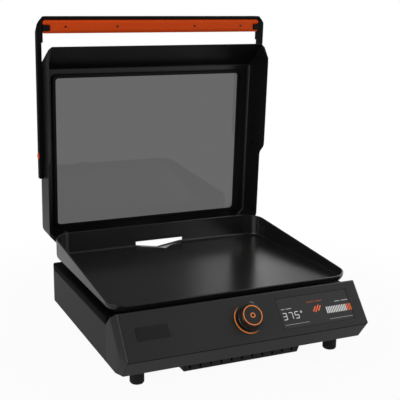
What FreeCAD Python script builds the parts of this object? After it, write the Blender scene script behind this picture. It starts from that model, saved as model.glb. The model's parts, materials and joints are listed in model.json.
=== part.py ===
import FreeCAD, Part
import Sketcher
import math
import os
from FreeCAD import Placement, Rotation, Vector

# Tabletop electric griddle with its hood open.
# +Z is up, +Y is to the rear, and the origin lies under the middle of the whole outline.

doc = FreeCAD.newDocument("griddle")
sheet = doc.addObject("Spreadsheet::Sheet", "Dimensions")


class Size:
    """A length that keeps its value and the sheet expression that it comes from."""

    def __init__(self, value, text):
        self.value = float(value)
        self.text = text

    def __add__(self, other):
        other = as_size(other)
        return Size(self.value + other.value, f"({self.text} + {other.text})")

    def __radd__(self, other):
        return as_size(other) + self

    def __sub__(self, other):
        other = as_size(other)
        return Size(self.value - other.value, f"({self.text} - {other.text})")

    def __rsub__(self, other):
        return as_size(other) - self

    def __mul__(self, other):
        other = as_size(other)
        return Size(self.value * other.value, f"({self.text} * {other.text})")

    def __rmul__(self, other):
        return as_size(other) * self

    def __truediv__(self, other):
        other = as_size(other)
        return Size(self.value / other.value, f"({self.text} / {other.text})")

    def __neg__(self):
        return Size(-self.value, f"(0 - {self.text})")


def as_size(number):
    return number if isinstance(number, Size) else Size(number, f"({number})")


def sine(angle):
    return Size(math.sin(math.radians(angle.value)), f"sin({angle.text} * 1 deg)")


def cosine(angle):
    return Size(math.cos(math.radians(angle.value)), f"cos({angle.text} * 1 deg)")


sheet_rows = []


def driving(alias, number, note):
    """One row of the sheet: a note, the number and its alias."""
    sheet_rows.append(alias)
    row = len(sheet_rows)
    sheet.set(f"A{row}", note)
    sheet.set(f"B{row}", str(number))
    sheet.setAlias(f"B{row}", alias)
    return Size(number, f"Dimensions.{alias}")


# Griddle plate
plate_width = driving("plate_width", 583, "plate, outside of the rim, side to side")
plate_depth = driving("plate_depth", 451, "plate, outside of the rim, front to back")
plate_front = driving("plate_front", -224, "front of the plate's rim")
plate_under = driving("plate_under", 149, "height of the plate's underside")
plate_floor = driving("plate_floor", 5, "thickness of the cooking floor")
plate_wall = driving("plate_wall", 4, "thickness of the plate's walls")
plate_corner = driving("plate_corner", 46, "corner radius of the rim in plan")
plate_edge = driving("plate_edge", 6, "round under the plate's lower edge")
floor_round = driving("floor_round", 6, "round between floor and walls")
rim_front = driving("rim_front", 169, "height of the rim at the front")
rim_back = driving("rim_back", 211, "height of the rim at the back")
rim_round = driving("rim_round", 1.2, "round along the rim")
drain_width = driving("drain_width", 134, "drain slot in the rear wall")
drain_top = driving("drain_top", 173, "height of the drain slot's upper edge")
drain_fall = driving("drain_fall", 10.5, "drop of the trough below the floor at the rear wall")
drain_run = driving("drain_run", 45, "length of the trough in front of the rear wall")
spout_reach = driving("spout_reach", 14, "spout past the rear wall")
spout_wall = driving("spout_wall", 3, "wall of the trough and spout")

# Lower housing and console
base_width = driving("base_width", 588, "tub, outside")
base_under = driving("base_under", 38, "height of the underside of tub and console")
base_back = driving("base_back", 216, "rear face of the tub")
base_corner = driving("base_corner", 4, "rear corner radius of the tub")
side_top = driving("side_top", 124, "height of the tub's side walls")
shell_wall = driving("shell_wall", 3, "wall of tub and console")
flange_width = driving("flange_width", 24, "inward flange along the top of the tub")
seam_y = driving("seam_y", -194, "seam between console and tub")
face_width = driving("face_width", 571, "console, width of the flat control face")
face_top_y = driving("face_top_y", -240.4, "upper edge of the control face")
face_top_z = driving("face_top_z", 161.8, "height of the control face's upper edge")
face_length = driving("face_length", 102.5, "control face, along its slope")
face_tilt = driving("face_tilt", 51.66, "control face, tilt from level in degrees")
chin_y = driving("chin_y", -272, "lower edge of the chin")
lip_y = driving("lip_y", -232, "rear of the console's upper lip")
facet_drop = driving("facet_drop", 12.8, "fall of the lip across the end facet")
facet_depth = driving("facet_depth", 19, "set-back of the lip across the end facet")
facet_crease = driving("facet_crease", 27.7, "set-back of the crease across the end facet")
facet_chin = driving("facet_chin", 24, "set-back of the chin across the end facet")
facet_sag = driving("facet_sag", 4.8, "fall of the crease across the end facet")
groove = driving("groove", 2.4, "height of the shadow groove under the crease")

# Collar and heat shield
collar_front = driving("collar_front", -193, "front of the collar")
collar_band = driving("collar_band", 26, "width of the collar's band")
collar_top = driving("collar_top", 140, "height of the collar")
collar_corner = driving("collar_corner", 10, "inner corner radius of the collar")
collar_round = driving("collar_round", 5, "round along the collar's upper edge")
pan_gauge = driving("pan_gauge", 1.5, "sheet of the reflector pan")
pan_width = driving("pan_width", 524, "reflector pan, tray")
pan_front = driving("pan_front", -172, "front of the tray")
pan_back = driving("pan_back", 188, "rear of the tray")
pan_floor = driving("pan_floor", 92, "height of the tray's underside")
pan_lip = driving("pan_lip", 18, "flange of the reflector pan")

# Heating element
tube_radius = driving("tube_radius", 3.5, "heating element, radius of the tube")
tube_height = driving("tube_height", 145.3, "height of the heating element's centre line")
bend_radius = driving("bend_radius", 38, "heating element, bends")
leg_x = driving("leg_x", 32, "heating element, inner runs")
mid_x = driving("mid_x", 122, "heating element, middle runs")
outer_x = driving("outer_x", 212, "heating element, outer runs")
leg_front = driving("leg_front", -214, "ends of the heating element")
turn_front = driving("turn_front", -145, "front turns of the heating element")
turn_back = driving("turn_back", 125, "inner rear turns of the heating element")
run_back = driving("run_back", 172, "rear run of the heating element")
clamp_width = driving("clamp_width", 16, "element clamp strips")
clamp_gauge = driving("clamp_gauge", 1.5, "sheet of the element clamps")
post_radius = driving("post_radius", 7, "plate posts")
post_x = driving("post_x", 235, "plate posts, side to side from the middle")
post_y = driving("post_y", 148, "plate posts, front to back from the middle")

# Feet and vent
foot_radius = driving("foot_radius", 15.6, "rubber feet")
foot_x = driving("foot_x", 238, "feet, side to side from the middle")
foot_front = driving("foot_front", -228, "front feet")
foot_rear = driving("foot_rear", 172, "rear feet")
vent_width = driving("vent_width", 298, "vent grille")
vent_under = driving("vent_under", 14, "height of the vent grille's underside")
vent_front = driving("vent_front", -247, "front of the vent grille")
vent_depth = driving("vent_depth", 52, "vent grille, front to back")
vent_slant = driving("vent_slant", 10, "slant of the vent grille's ends")
vent_pitch = driving("vent_pitch", 25, "spacing of the vent slots")
vent_slot = driving("vent_slot", 4, "width of a vent slot")

# Controls on the sloped face, measured down from its upper edge
knob_drop = driving("knob_drop", 50.5, "knob centre, down the face")
knob_radius = driving("knob_radius", 25, "knob at its face")
knob_skirt = driving("knob_skirt", 27, "knob at its foot")
knob_height = driving("knob_height", 22, "knob face above the panel")
knob_gap = driving("knob_gap", 2.8, "gap under the knob")
shaft_radius = driving("shaft_radius", 2.5, "knob shaft")
running_gap = driving("running_gap", 0.05, "radial running clearance")
plunger_wall = driving("plunger_wall", 1.2, "wall of the encoder's plunger")
ring_radius = driving("ring_radius", 32.5, "lit ring on the panel, middle of its band")
ring_band = driving("ring_band", 1.8, "width of the lit ring on the panel")
face_ring = driving("face_ring", 21, "lit ring on the knob, middle of its band")
face_band = driving("face_band", 1.5, "width of the lit ring on the knob")
ring_sink = driving("ring_sink", 1, "depth of the ring groove in the knob")
plunger_foot = driving("plunger_foot", -12, "lower end of the plunger from the panel")
plunger_head = driving("plunger_head", 1, "upper end of the plunger from the panel")
shaft_top = driving("shaft_top", 15, "upper end of the knob shaft from the panel")
board_rise = driving("board_rise", 8, "pillars under the control board")
board_gauge = driving("board_gauge", 1.6, "thickness of the control board")
lens_width = driving("lens_width", 180.5, "display lens")
lens_height = driving("lens_height", 69, "display lens, along the slope")
lens_middle = driving("lens_middle", 165.2, "display lens, sideways from the middle")
lens_drop = driving("lens_drop", 52, "display lens, middle, down the face")
lens_gauge = driving("lens_gauge", 1.2, "thickness of the display lens")
lens_sink = driving("lens_sink", 0.6, "display lens, below the control face")
lens_gap = driving("lens_gap", 0.5, "gap round the display lens")
lens_ledge = driving("lens_ledge", 5, "ledge that carries the display lens")
lens_corner = driving("lens_corner", 4, "corner radius of the display lens")

# Hood, drawn upright and then leaned forward to where it rests when open
hood_lean = driving("hood_lean", 2.3, "forward lean of the open hood in degrees")
hood_width = driving("hood_width", 593, "hood, outside")
hood_back = driving("hood_back", 308.4, "outer face of the hood's panel")
hood_fold = driving("hood_fold", 9, "bend between the hood's panel and its walls")
hood_sheet = driving("hood_sheet", 1.5, "sheet of the hood")
hood_foot = driving("hood_foot", 163, "height of the hood's rear wall when open")
panel_head = driving("panel_head", 616, "height of the fold between panel and front wall")
hood_head = driving("hood_head", 675.6, "height of the front wall's rim")
head_cut_x = driving("head_cut_x", 6, "upper corner chamfer, sideways")
head_cut_z = driving("head_cut_z", 38, "upper corner chamfer, downwards")
crown_cut = driving("crown_cut", 9, "second, steeper chamfer above the upper corner chamfer")
foot_cut_x = driving("foot_cut_x", 36, "lower corner chamfer, sideways")
foot_cut_z = driving("foot_cut_z", 42, "lower corner chamfer, upwards")
rim_deep = driving("rim_deep", 209, "side rim, deep part")
rim_shallow = driving("rim_shallow", 231, "side rim, shallow part near the hinge")
rim_head = driving("rim_head", 225.8, "rim of the front wall")
step_low = driving("step_low", 384, "lower end of the step in the side rim")
step_high = driving("step_high", 406, "upper end of the step in the side rim")
window_width = driving("window_width", 511, "clear width of the window")
window_height = driving("window_height", 379, "clear height of the window")
window_middle = driving("window_middle", 402.7, "height of the window's middle")
window_corner = driving("window_corner", 8, "corner radius of the window")
pane_lap = driving("pane_lap", 6, "pane behind its frame")
pane_gauge = driving("pane_gauge", 4, "thickness of the pane")
seal_gauge = driving("seal_gauge", 2, "thickness of the seal")
frame_lap = driving("frame_lap", 9, "band of the window frame")
frame_gauge = driving("frame_gauge", 2.5, "sheet of the window frame")
panel_cut = driving("panel_cut", 3, "panel opening beyond the clear window")

# Hinge
hinge_y = driving("hinge_y", 249, "hinge axis")
hinge_z = driving("hinge_z", 198, "height of the hinge axis")
pin_radius = driving("pin_radius", 3, "hinge pin")
ear_radius = driving("ear_radius", 9, "ear round the hinge pin")
ear_flat = driving("ear_flat", 5, "half of a flat on the eight-sided ear")
bracket_x = driving("bracket_x", 246, "inner face of a hinge bracket")
bracket_gauge = driving("bracket_gauge", 3, "hinge bracket and lug")
hinge_gap = driving("hinge_gap", 1, "gap between bracket and lug")
notch_width = driving("notch_width", 16, "notch in the hood for a hinge bracket")
notch_depth = driving("notch_depth", 36, "depth of that notch from the rim")
spout_room = driving("spout_room", 12, "notch in the hood over the spout, past the drain at each side")
spout_notch = driving("spout_notch", 22, "depth of the notch over the spout")
lug_seat = driving("lug_seat", 20, "foot of a hood lug, front to back")

# Handle
arm_inner = driving("arm_inner", 297.5, "inner face of a handle arm")
arm_gauge = driving("arm_gauge", 11.5, "handle arm, sideways")
arm_foot = driving("arm_foot", 346, "lower end of a handle arm")
arm_front = driving("arm_front", 265.4, "front edge of an arm")
arm_back = driving("arm_back", 284, "rear edge of an arm")
arm_toe = driving("arm_toe", 4, "cut at the lower end of an arm")
handle_top = driving("handle_top", 744.3, "height of the handle")
handle_cut = driving("handle_cut", 18.5, "chamfer at the handle's upper corners, downwards")
handle_fall = driving("handle_fall", 20, "that chamfer, further down at the rear")
arm_swell = driving("arm_swell", 3.5, "arms above the hood, thicker inwards")
bar_gauge = driving("bar_gauge", 7, "crossbar, upper plate and rear plate")
grip_foot = driving("grip_foot", 703.8, "lower edge of the grip")
grip_front = driving("grip_front", 263, "front of the grip")
grip_end = driving("grip_end", 293.7, "end of the grip from the middle")
grip_round = driving("grip_round", 9, "rounds along the grip's front")
clip_length = driving("clip_length", 16.5, "grip clips, sideways")
clip_tall = driving("clip_tall", 13.5, "height of the grip clips")
clip_top = driving("clip_top", 723.5, "upper edge of the grip clips")
clip_gap = driving("clip_gap", 0.2, "gap round a grip clip")
cap_height = driving("cap_height", 404, "height of the arm caps")
cap_radius = driving("cap_radius", 8, "arm caps")

# Grease cup and inlet at the rear
cup_width = driving("cup_width", 138, "grease cup, outside")
cup_front = driving("cup_front", 222, "front of the grease cup")
cup_depth = driving("cup_depth", 66, "grease cup, front to back")
cup_under = driving("cup_under", 60, "height of the grease cup's underside")
cup_top = driving("cup_top", 108, "height of the grease cup's rim")
cup_wall = driving("cup_wall", 1.6, "wall of the grease cup")
cup_lip = driving("cup_lip", 7, "lip of the grease cup on its rails")
rail_gauge = driving("rail_gauge", 2, "sheet of the cup rails")
inlet_x = driving("inlet_x", 170, "power inlet, sideways from the middle")
inlet_z = driving("inlet_z", 80, "height of the power inlet")
inlet_width = driving("inlet_width", 28, "power inlet")
inlet_height = driving("inlet_height", 21, "power inlet")

plate_back = plate_front + plate_depth
plate_half = plate_width / 2
floor_top = plate_under + plate_floor
base_half = base_width / 2
crease_y = face_top_y - face_length * cosine(face_tilt)
crease_z = face_top_z - face_length * sine(face_tilt)
hood_half = hood_width / 2

doc.recompute()
sub_parts = []


def new_body(label):
    """A body that becomes one sub-part."""
    body = doc.addObject("PartDesign::Body", label)
    body.Label = label
    sub_parts.append(body)
    return body


def plane_of(body, role):
    return next(plane for plane in body.Origin.OriginFeatures if plane.Role == role)


def sketch_on(body, role, offset=0):
    """An empty sketch on one of the body's own planes, shifted along that plane's normal."""
    sketch = body.newObject("Sketcher::SketchObject", "Sketch")
    sketch.AttachmentSupport = [(plane_of(body, role), "")]
    sketch.MapMode = "FlatFace"
    shift = as_size(offset)
    sketch.AttachmentOffset = Placement(Vector(0, 0, shift.value), Rotation())
    sketch.setExpression("AttachmentOffset.Base.z", shift.text)
    return sketch


def flat_at(body, height):
    return sketch_on(body, "XY_Plane", height)


def upright_at(body, depth):
    """A sketch that faces the front: its x is X and its y is Z."""
    return sketch_on(body, "XZ_Plane", -as_size(depth))


def side_at(body, across):
    """A sketch seen from the side: its x is Y and its y is Z."""
    return sketch_on(body, "YZ_Plane", across)


def fix_point(sketch, curve, end, point):
    for kind, axis, want in (("DistanceX", -2, point[0]), ("DistanceY", -1, point[1])):
        want = as_size(want)
        if abs(want.value) < 1e-9:
            sketch.addConstraint(Sketcher.Constraint("PointOnObject", curve, end, axis))
            continue
        row = sketch.addConstraint(Sketcher.Constraint(kind, -1, 1, curve, end, want.value))
        sketch.setExpression(f"Constraints[{row}]", want.text)


def flat_vector(point):
    return Vector(as_size(point[0]).value, as_size(point[1]).value, 0)


def polygon(sketch, points):
    """A closed outline of straight edges, each corner tied to the sheet."""
    count = len(points)
    first = sketch.GeometryCount
    for place in range(count):
        start = flat_vector(points[place])
        end = flat_vector(points[(place + 1) % count])
        sketch.addGeometry(Part.LineSegment(start, end), False)
    for place in range(count):
        after = first + (place + 1) % count
        sketch.addConstraint(Sketcher.Constraint("Coincident", first + place, 2, after, 1))
    for place in range(count):
        fix_point(sketch, first + place, 1, points[place])
    return sketch


def heading(start, end):
    """The axis direction, as two signs, from one corner of a square-cornered path to the next."""
    gap = flat_vector(end) - flat_vector(start)
    if abs(gap.x) > abs(gap.y):
        return (math.copysign(1, gap.x), 0)
    return (0, math.copysign(1, gap.y))


def toward(corner, direction, distance):
    """The point at a distance from a corner along an axis direction."""
    return tuple(
        place + distance * sign if sign else place for place, sign in zip(corner, direction)
    )


def rounded_path(sketch, corners, radius, closed=True):
    """Straight runs along the axes, joined by tangent quarter turns of one radius."""
    corners = [tuple(as_size(place) for place in corner) for corner in corners]
    count = len(corners)
    bends = range(count) if closed else range(1, count - 1)
    starts = {}
    ends = {}
    for place in bends:
        corner = corners[place]
        inward = heading(corners[place - 1], corner)
        outward = heading(corner, corners[(place + 1) % count])
        ends[place] = toward(corner, (-inward[0], -inward[1]), radius)
        starts[place] = toward(corner, outward, radius)
    runs = {}
    for place in range(count if closed else count - 1):
        after = (place + 1) % count
        start = starts.get(place, corners[place])
        end = ends.get(after, corners[after])
        runs[place] = sketch.addGeometry(Part.LineSegment(flat_vector(start), flat_vector(end)), False)
        fix_point(sketch, runs[place], 1, start)
        fix_point(sketch, runs[place], 2, end)
    for place in bends:
        start = flat_vector(ends[place])
        end = flat_vector(starts[place])
        corner = flat_vector(corners[place])
        centre = start + end - corner
        middle = centre + (corner - centre).normalize() * radius.value
        arc = sketch.addGeometry(Part.Arc(start, middle, end), False)
        before = runs[place - 1 if place else count - 1]
        turn = (start - centre).cross(end - centre).z
        first, last = (1, 2) if turn > 0 else (2, 1)
        sketch.addConstraint(Sketcher.Constraint("Coincident", before, 2, arc, first))
        sketch.addConstraint(Sketcher.Constraint("Coincident", runs[place], 1, arc, last))
        row = sketch.addConstraint(Sketcher.Constraint("Radius", arc, radius.value))
        sketch.setExpression(f"Constraints[{row}]", radius.text)
    return sketch


def box_outline(low_x, low_y, high_x, high_y):
    return [(low_x, low_y), (high_x, low_y), (high_x, high_y), (low_x, high_y)]


def rounded_box(sketch, low_x, low_y, high_x, high_y, radius):
    return rounded_path(sketch, box_outline(low_x, low_y, high_x, high_y), as_size(radius))


def circle(sketch, centre, radius):
    radius = as_size(radius)
    round_curve = Part.Circle(flat_vector(centre), Vector(0, 0, 1), radius.value)
    curve = sketch.addGeometry(round_curve, False)
    fix_point(sketch, curve, 3, centre)
    row = sketch.addConstraint(Sketcher.Constraint("Radius", curve, radius.value))
    sketch.setExpression(f"Constraints[{row}]", radius.text)
    return sketch


def bind(feature, name, size):
    size = as_size(size)
    setattr(feature, name, size.value)
    feature.setExpression(name, size.text)


def pad(sketch, length, back=False, both=False):
    """Adds the sketch's outline along its normal, or against it, or half each way."""
    body = sketch.getParentGeoFeatureGroup()
    feature = body.newObject("PartDesign::Pad", "Pad")
    feature.Profile = sketch
    bind(feature, "Length", length)
    feature.SideType = "Symmetric" if both else "One side"
    feature.Reversed = back
    doc.recompute()
    return feature


def pocket(sketch, length, along=False, both=False):
    """Cuts the outline against the sketch's normal, or along it, and must take something away."""
    body = sketch.getParentGeoFeatureGroup()
    before = body.Shape.Volume
    feature = body.newObject("PartDesign::Pocket", "Pocket")
    feature.Profile = sketch
    bind(feature, "Length", length)
    feature.SideType = "Symmetric" if both else "One side"
    feature.Reversed = along
    doc.recompute()
    if body.Shape.Volume > before - 1e-6:
        raise RuntimeError(f"a cut in {body.Label} takes nothing away")
    return feature


def loft(kind, sections):
    """A ruled loft through sketches of equal corner count."""
    body = sections[0].getParentGeoFeatureGroup()
    feature = body.newObject(f"PartDesign::{kind}Loft", f"{kind}Loft")
    feature.Profile = sections[0]
    feature.Sections = sections[1:]
    feature.Ruled = True
    doc.recompute()
    return feature


def dress(kind, base, amount_name, amount, test):
    """A fillet or chamfer on the edges of the base that pass the test."""
    body = base.getParentGeoFeatureGroup()
    names = [f"Edge{row + 1}" for row, edge in enumerate(base.Shape.Edges) if test(edge)]
    feature = body.newObject(f"PartDesign::{kind}", kind)
    feature.Base = (base, names)
    bind(feature, amount_name, amount)
    doc.recompute()
    return feature


def fillet(base, radius, test):
    return dress("Fillet", base, "Radius", radius, test)


def chamfer(base, amount, test):
    return dress("Chamfer", base, "Size", amount, test)


def level_edge(height):
    """A test for edges that lie wholly at one height."""
    height = as_size(height).value

    def lies_level(edge):
        box = edge.BoundBox
        return abs(box.ZMin - height) < 1e-3 and abs(box.ZMax - height) < 1e-3

    return lies_level


def revolve(sketch):
    """A full turn of a side sketch about the body's Z axis."""
    body = sketch.getParentGeoFeatureGroup()
    feature = body.newObject("PartDesign::Revolution", "Revolution")
    feature.Profile = sketch
    feature.ReferenceAxis = (plane_of(body, "Z_Axis"), [""])
    feature.Angle = 360
    doc.recompute()
    return feature


def pattern(feature, axis, spacing, count):
    body = feature.getParentGeoFeatureGroup()
    row = body.newObject("PartDesign::LinearPattern", "LinearPattern")
    row.Originals = [feature]
    row.Direction = (plane_of(body, axis), [""])
    bind(row, "Length", spacing * (count - 1))
    row.Occurrences = count
    body.Tip = row
    doc.recompute()
    return row


def mirror(features):
    """The same features on the other side of the middle plane."""
    body = features[0].getParentGeoFeatureGroup()
    copy = body.newObject("PartDesign::Mirrored", "Mirrored")
    copy.Originals = features
    copy.MirrorPlane = (plane_of(body, "YZ_Plane"), [""])
    body.Tip = copy
    doc.recompute()
    return copy


def place_body(body, base, turn=None):
    """Moves a finished body, and turns it about X where an angle is given."""
    angle = as_size(turn if turn is not None else 0)
    spot = [as_size(part) for part in base]
    body.Placement = Placement(
        Vector(*[part.value for part in spot]), Rotation(Vector(1, 0, 0), angle.value)
    )
    for name, part in zip("xyz", spot):
        body.setExpression(f"Placement.Base.{name}", part.text)
    if turn is not None:
        body.setExpression("Placement.Rotation.Angle", f"{angle.text} * 1 deg")


def on_face(across, drop, above=0):
    """A point of the sloped control face, and a distance above it, in the whole frame."""
    drop = as_size(drop)
    above = as_size(above)
    return (
        across,
        face_top_y - drop * cosine(face_tilt) - above * sine(face_tilt),
        face_top_z - drop * sine(face_tilt) + above * cosine(face_tilt),
    )


def face_sketch(body):
    """A sketch on the control face: its x is X and its y runs up the slope from the upper edge."""
    sketch = sketch_on(body, "XY_Plane")
    sketch.AttachmentOffset = Placement(
        Vector(0, face_top_y.value, face_top_z.value), Rotation(Vector(1, 0, 0), face_tilt.value)
    )
    sketch.setExpression("AttachmentOffset.Base.y", face_top_y.text)
    sketch.setExpression("AttachmentOffset.Base.z", face_top_z.text)
    sketch.setExpression("AttachmentOffset.Rotation.Angle", f"{face_tilt.text} * 1 deg")
    return sketch


def griddle_plate():
    """A pan with a sloping rim, round corners, and a trough that drains through the rear wall."""
    body = new_body("griddle_plate")
    outline = rounded_box(
        flat_at(body, plate_under), -plate_half, plate_front, plate_half, plate_back, plate_corner
    )
    block = pad(outline, rim_back - plate_under)
    fillet(block, plate_edge, level_edge(plate_under))
    inner = plate_half - plate_wall
    hollow = rounded_box(
        flat_at(body, floor_top), -inner, plate_front + plate_wall, inner, plate_back - plate_wall,
        plate_corner - plate_wall,
    )
    basin = pocket(hollow, rim_back - floor_top + 1, along=True)
    fillet(basin, floor_round, level_edge(floor_top))
    over = rim_back + 10
    slope = polygon(
        side_at(body, 0),
        [(plate_front, rim_front), (plate_back, rim_back), (plate_back, over), (plate_front, over)],
    )
    cut = pocket(slope, plate_width + 10, both=True)
    fillet(cut, rim_round, rim_edge)

    half = drain_width / 2
    bottom = floor_top - drain_fall
    rear = plate_back + spout_reach
    start = plate_back - drain_run
    side = half + 2 * spout_wall
    trough = [
        polygon(upright_at(body, depth), [(-side, floor_top), (0, low), (side, floor_top)])
        for depth, low in ((start, plate_under + 0.5), (rear, bottom - spout_wall))
    ]
    loft("Additive", trough)
    over_floor = as_size(1)
    brink = floor_top + over_floor
    widen = half * (drain_fall + over_floor) / drain_fall
    channel = [
        polygon(upright_at(body, depth), [(-wide, brink), (0, low), (wide, brink)])
        for depth, wide, low in ((start, half / 8, floor_top - 0.2), (rear + 1, widen, bottom))
    ]
    loft("Subtractive", channel)
    shoulder = floor_top + 2
    slot = polygon(
        upright_at(body, plate_back - plate_wall - floor_round - 1),
        [(-half, shoulder), (0, bottom), (half, shoulder), (half, drain_top), (-half, drain_top)],
    )
    pocket(slot, plate_wall + floor_round + spout_reach, along=False)


def rim_edge(edge):
    """The edges of the plate's rim: everything on the sloping plane."""
    rise = (rim_back - rim_front).value / plate_depth.value
    for vertex in edge.Vertexes:
        wanted = rim_front.value + rise * (vertex.Y - plate_front.value)
        if abs(vertex.Z - wanted) > 1e-3:
            return False
    return True


def console_profile():
    """The console seen from the side, at the ends of its flat face."""
    return [
        (face_top_y, face_top_z),
        (crease_y, crease_z),
        (chin_y, base_under),
        (seam_y, base_under),
        (seam_y, side_top),
        (lip_y, side_top),
        (lip_y, face_top_z - shell_wall),
    ]


def console_end_profile():
    """The same profile at the outer end, drawn in by the facets."""
    top = (face_top_y + facet_depth, face_top_z - facet_drop)
    rear = (seam_y, side_top)
    third = tuple((high - low) / 3 for high, low in zip(top, rear))
    return [
        top,
        (crease_y + facet_crease, crease_z - facet_sag),
        (chin_y + facet_chin, base_under),
        (seam_y, base_under),
        rear,
        tuple(low + step for low, step in zip(rear, third)),
        tuple(low + 2 * step for low, step in zip(rear, third)),
    ]


def console_housing():
    """The sloped control housing with faceted ends, hollow and open into the tub."""
    body = new_body("console_housing")
    pad(polygon(side_at(body, 0), console_profile()), face_width, both=True)
    end = loft("Additive", [
        polygon(side_at(body, face_width / 2), console_profile()),
        polygon(side_at(body, base_half), console_end_profile()),
    ])
    mirror([end])
    across = shell_wall / sine(face_tilt)
    lean = cosine(face_tilt) / sine(face_tilt)
    ceiling = face_top_z - 2 * shell_wall
    floor = base_under + shell_wall
    chin_lean = (chin_y - crease_y) / (crease_z - base_under)
    cavity = polygon(side_at(body, 0), [
        (lip_y - shell_wall, ceiling),
        (face_top_y + across - (face_top_z - ceiling) * lean, ceiling),
        (crease_y + across, crease_z),
        (crease_y + across + (crease_z - floor) * chin_lean, floor),
        (seam_y + 1, floor),
        (seam_y + 1, side_top - shell_wall),
        (lip_y - shell_wall, side_top - shell_wall),
    ])
    pocket(cavity, face_width - 8, both=True)
    half_lens = lens_width / 2 + lens_gap
    half_tall = lens_height / 2 + lens_gap
    seat = rounded_box(
        face_sketch(body), lens_middle - half_lens, -lens_drop - half_tall,
        lens_middle + half_lens, -lens_drop + half_tall, lens_corner,
    )
    pocket(seat, lens_gauge + lens_sink)
    opening = rounded_box(
        face_sketch(body), lens_middle - half_lens + lens_ledge, -lens_drop - half_tall + lens_ledge,
        lens_middle + half_lens - lens_ledge, -lens_drop + half_tall - lens_ledge, lens_corner,
    )
    pocket(opening, shell_wall * 2)
    pocket(circle(face_sketch(body), (0, -knob_drop), bushing_radius + running_gap), shell_wall * 2)
    under_face = crease_z - groove / 3
    line = box_outline(crease_y - groove, under_face - groove, crease_y + 2 * groove, under_face)
    pocket(polygon(side_at(body, 0), line), face_width, both=True)


bushing_radius = shaft_radius + running_gap + plunger_wall + running_gap + 1.2


def base_tub():
    """The lower housing: floor with vent slots, side and rear walls, and an inward flange."""
    body = new_body("base_tub")
    block = pad(
        polygon(flat_at(body, base_under), box_outline(-base_half, seam_y, base_half, base_back)),
        side_top - base_under,
    )
    rear_limit = base_back.value - 1e-3
    fillet(block, base_corner, lambda edge: edge.BoundBox.YMin > rear_limit and edge.BoundBox.ZLength > 1)
    inner = base_half - shell_wall
    hollow = polygon(
        upright_at(body, seam_y), box_outline(-inner, base_under + shell_wall, inner, side_top - shell_wall)
    )
    pocket(hollow, base_back - shell_wall - seam_y)
    mouth = base_half - flange_width
    opening = polygon(
        flat_at(body, side_top), box_outline(-mouth, seam_y - 1, mouth, base_back - flange_width)
    )
    pocket(opening, shell_wall * 2)
    slot_length = 70
    slot_width = 5
    slot_pitch = as_size(36)
    slot_count = 9
    for middle in (-70, 70):
        first = -slot_pitch * (slot_count - 1) / 2
        slot = polygon(flat_at(body, base_under), box_outline(
            first - slot_width / 2, middle - slot_length / 2, first + slot_width / 2, middle + slot_length / 2
        ))
        pattern(pocket(slot, shell_wall, along=True), "X_Axis", slot_pitch, slot_count)
    half = inlet_width / 2
    tall = inlet_height / 2
    socket = box_outline(inlet_x - half, inlet_z - tall, inlet_x + half, inlet_z + tall)
    pocket(polygon(upright_at(body, base_back), socket), shell_wall * 2, along=True)


def support_collar():
    """The dark heat-proof ring between the tub and the plate, rebated over the pan's flange."""
    body = new_body("support_collar")
    ring = rounded_box(
        flat_at(body, side_top), -base_half, collar_front, base_half, base_back, base_corner
    )
    inner = base_half - collar_band
    rounded_box(
        ring, -inner, collar_front + collar_band, inner, base_back - collar_band, collar_corner
    )
    band = pad(ring, collar_top - side_top)
    upper = level_edge(collar_top)
    inside = (collar_band / 2).value

    def outer_upper(edge):
        middle = edge.valueAt((edge.FirstParameter + edge.LastParameter) / 2)
        near_side = abs(middle.x) > base_half.value - inside
        near_end = middle.y < collar_front.value + inside or middle.y > base_back.value - inside
        return upper(edge) and (near_side or near_end)

    fillet(band, collar_round, outer_upper)
    lip = pan_width / 2 + pan_lip + clip_gap
    rebate = box_outline(-lip, pan_front - pan_lip - clip_gap, lip, pan_back + pan_lip + clip_gap)
    pocket(polygon(flat_at(body, side_top), rebate), pan_gauge, along=True)


def reflector_pan():
    """The sheet-metal tray under the element, hung by its flange on the tub."""
    body = new_body("reflector_pan")
    half = pan_width / 2
    lip = half + pan_lip
    flange = polygon(flat_at(body, side_top), box_outline(-lip, pan_front - pan_lip, lip, pan_back + pan_lip))
    pad(flange, pan_gauge)
    tray = polygon(flat_at(body, pan_floor), box_outline(-half, pan_front, half, pan_back))
    pad(tray, side_top - pan_floor)
    inner = half - pan_gauge
    hollow = polygon(
        flat_at(body, pan_floor + pan_gauge),
        box_outline(-inner, pan_front + pan_gauge, inner, pan_back - pan_gauge),
    )
    pocket(hollow, side_top - pan_floor, along=True)


def heating_element():
    """One bent tube in a level serpentine, with both ends at the front."""
    body = new_body("heating_element")
    half_route = [
        (leg_x, leg_front), (leg_x, turn_back), (mid_x, turn_back), (mid_x, turn_front),
        (outer_x, turn_front), (outer_x, run_back),
    ]
    left = [(-across, depth) for across, depth in half_route]
    route = left + half_route[::-1]
    path = rounded_path(flat_at(body, tube_height), route, bend_radius, closed=False)
    section = circle(upright_at(body, leg_front), (-leg_x, tube_height), tube_radius)
    tube = body.newObject("PartDesign::AdditivePipe", "AdditivePipe")
    tube.Profile = section
    tube.Spine = path
    doc.recompute()


def element_clamps():
    """Three hat-shaped strips that press the tube to the plate."""
    reach = outer_x + tube_radius + 2 * clamp_gauge
    top = plate_under
    under_foot = top - clamp_gauge
    seat = tube_height - tube_radius
    under_tube = seat - clamp_gauge
    side = reach + clamp_gauge
    end = reach + clamp_width
    strips = []
    for depth in (-95, 20, 100):
        profile = [
            (-end, top), (-end, under_foot), (-side, under_foot), (-side, under_tube), (side, under_tube),
            (side, under_foot), (end, under_foot), (end, top), (reach, top), (reach, seat), (-reach, seat),
            (-reach, top),
        ]
        corners = [Vector(as_size(x).value, depth, as_size(z).value) for x, z in profile]
        face = Part.Face(Part.makePolygon(corners + corners[:1]))
        strips.append(face.extrude(Vector(0, clamp_width.value, 0)))
    add_group("element_clamps", strips)


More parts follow.
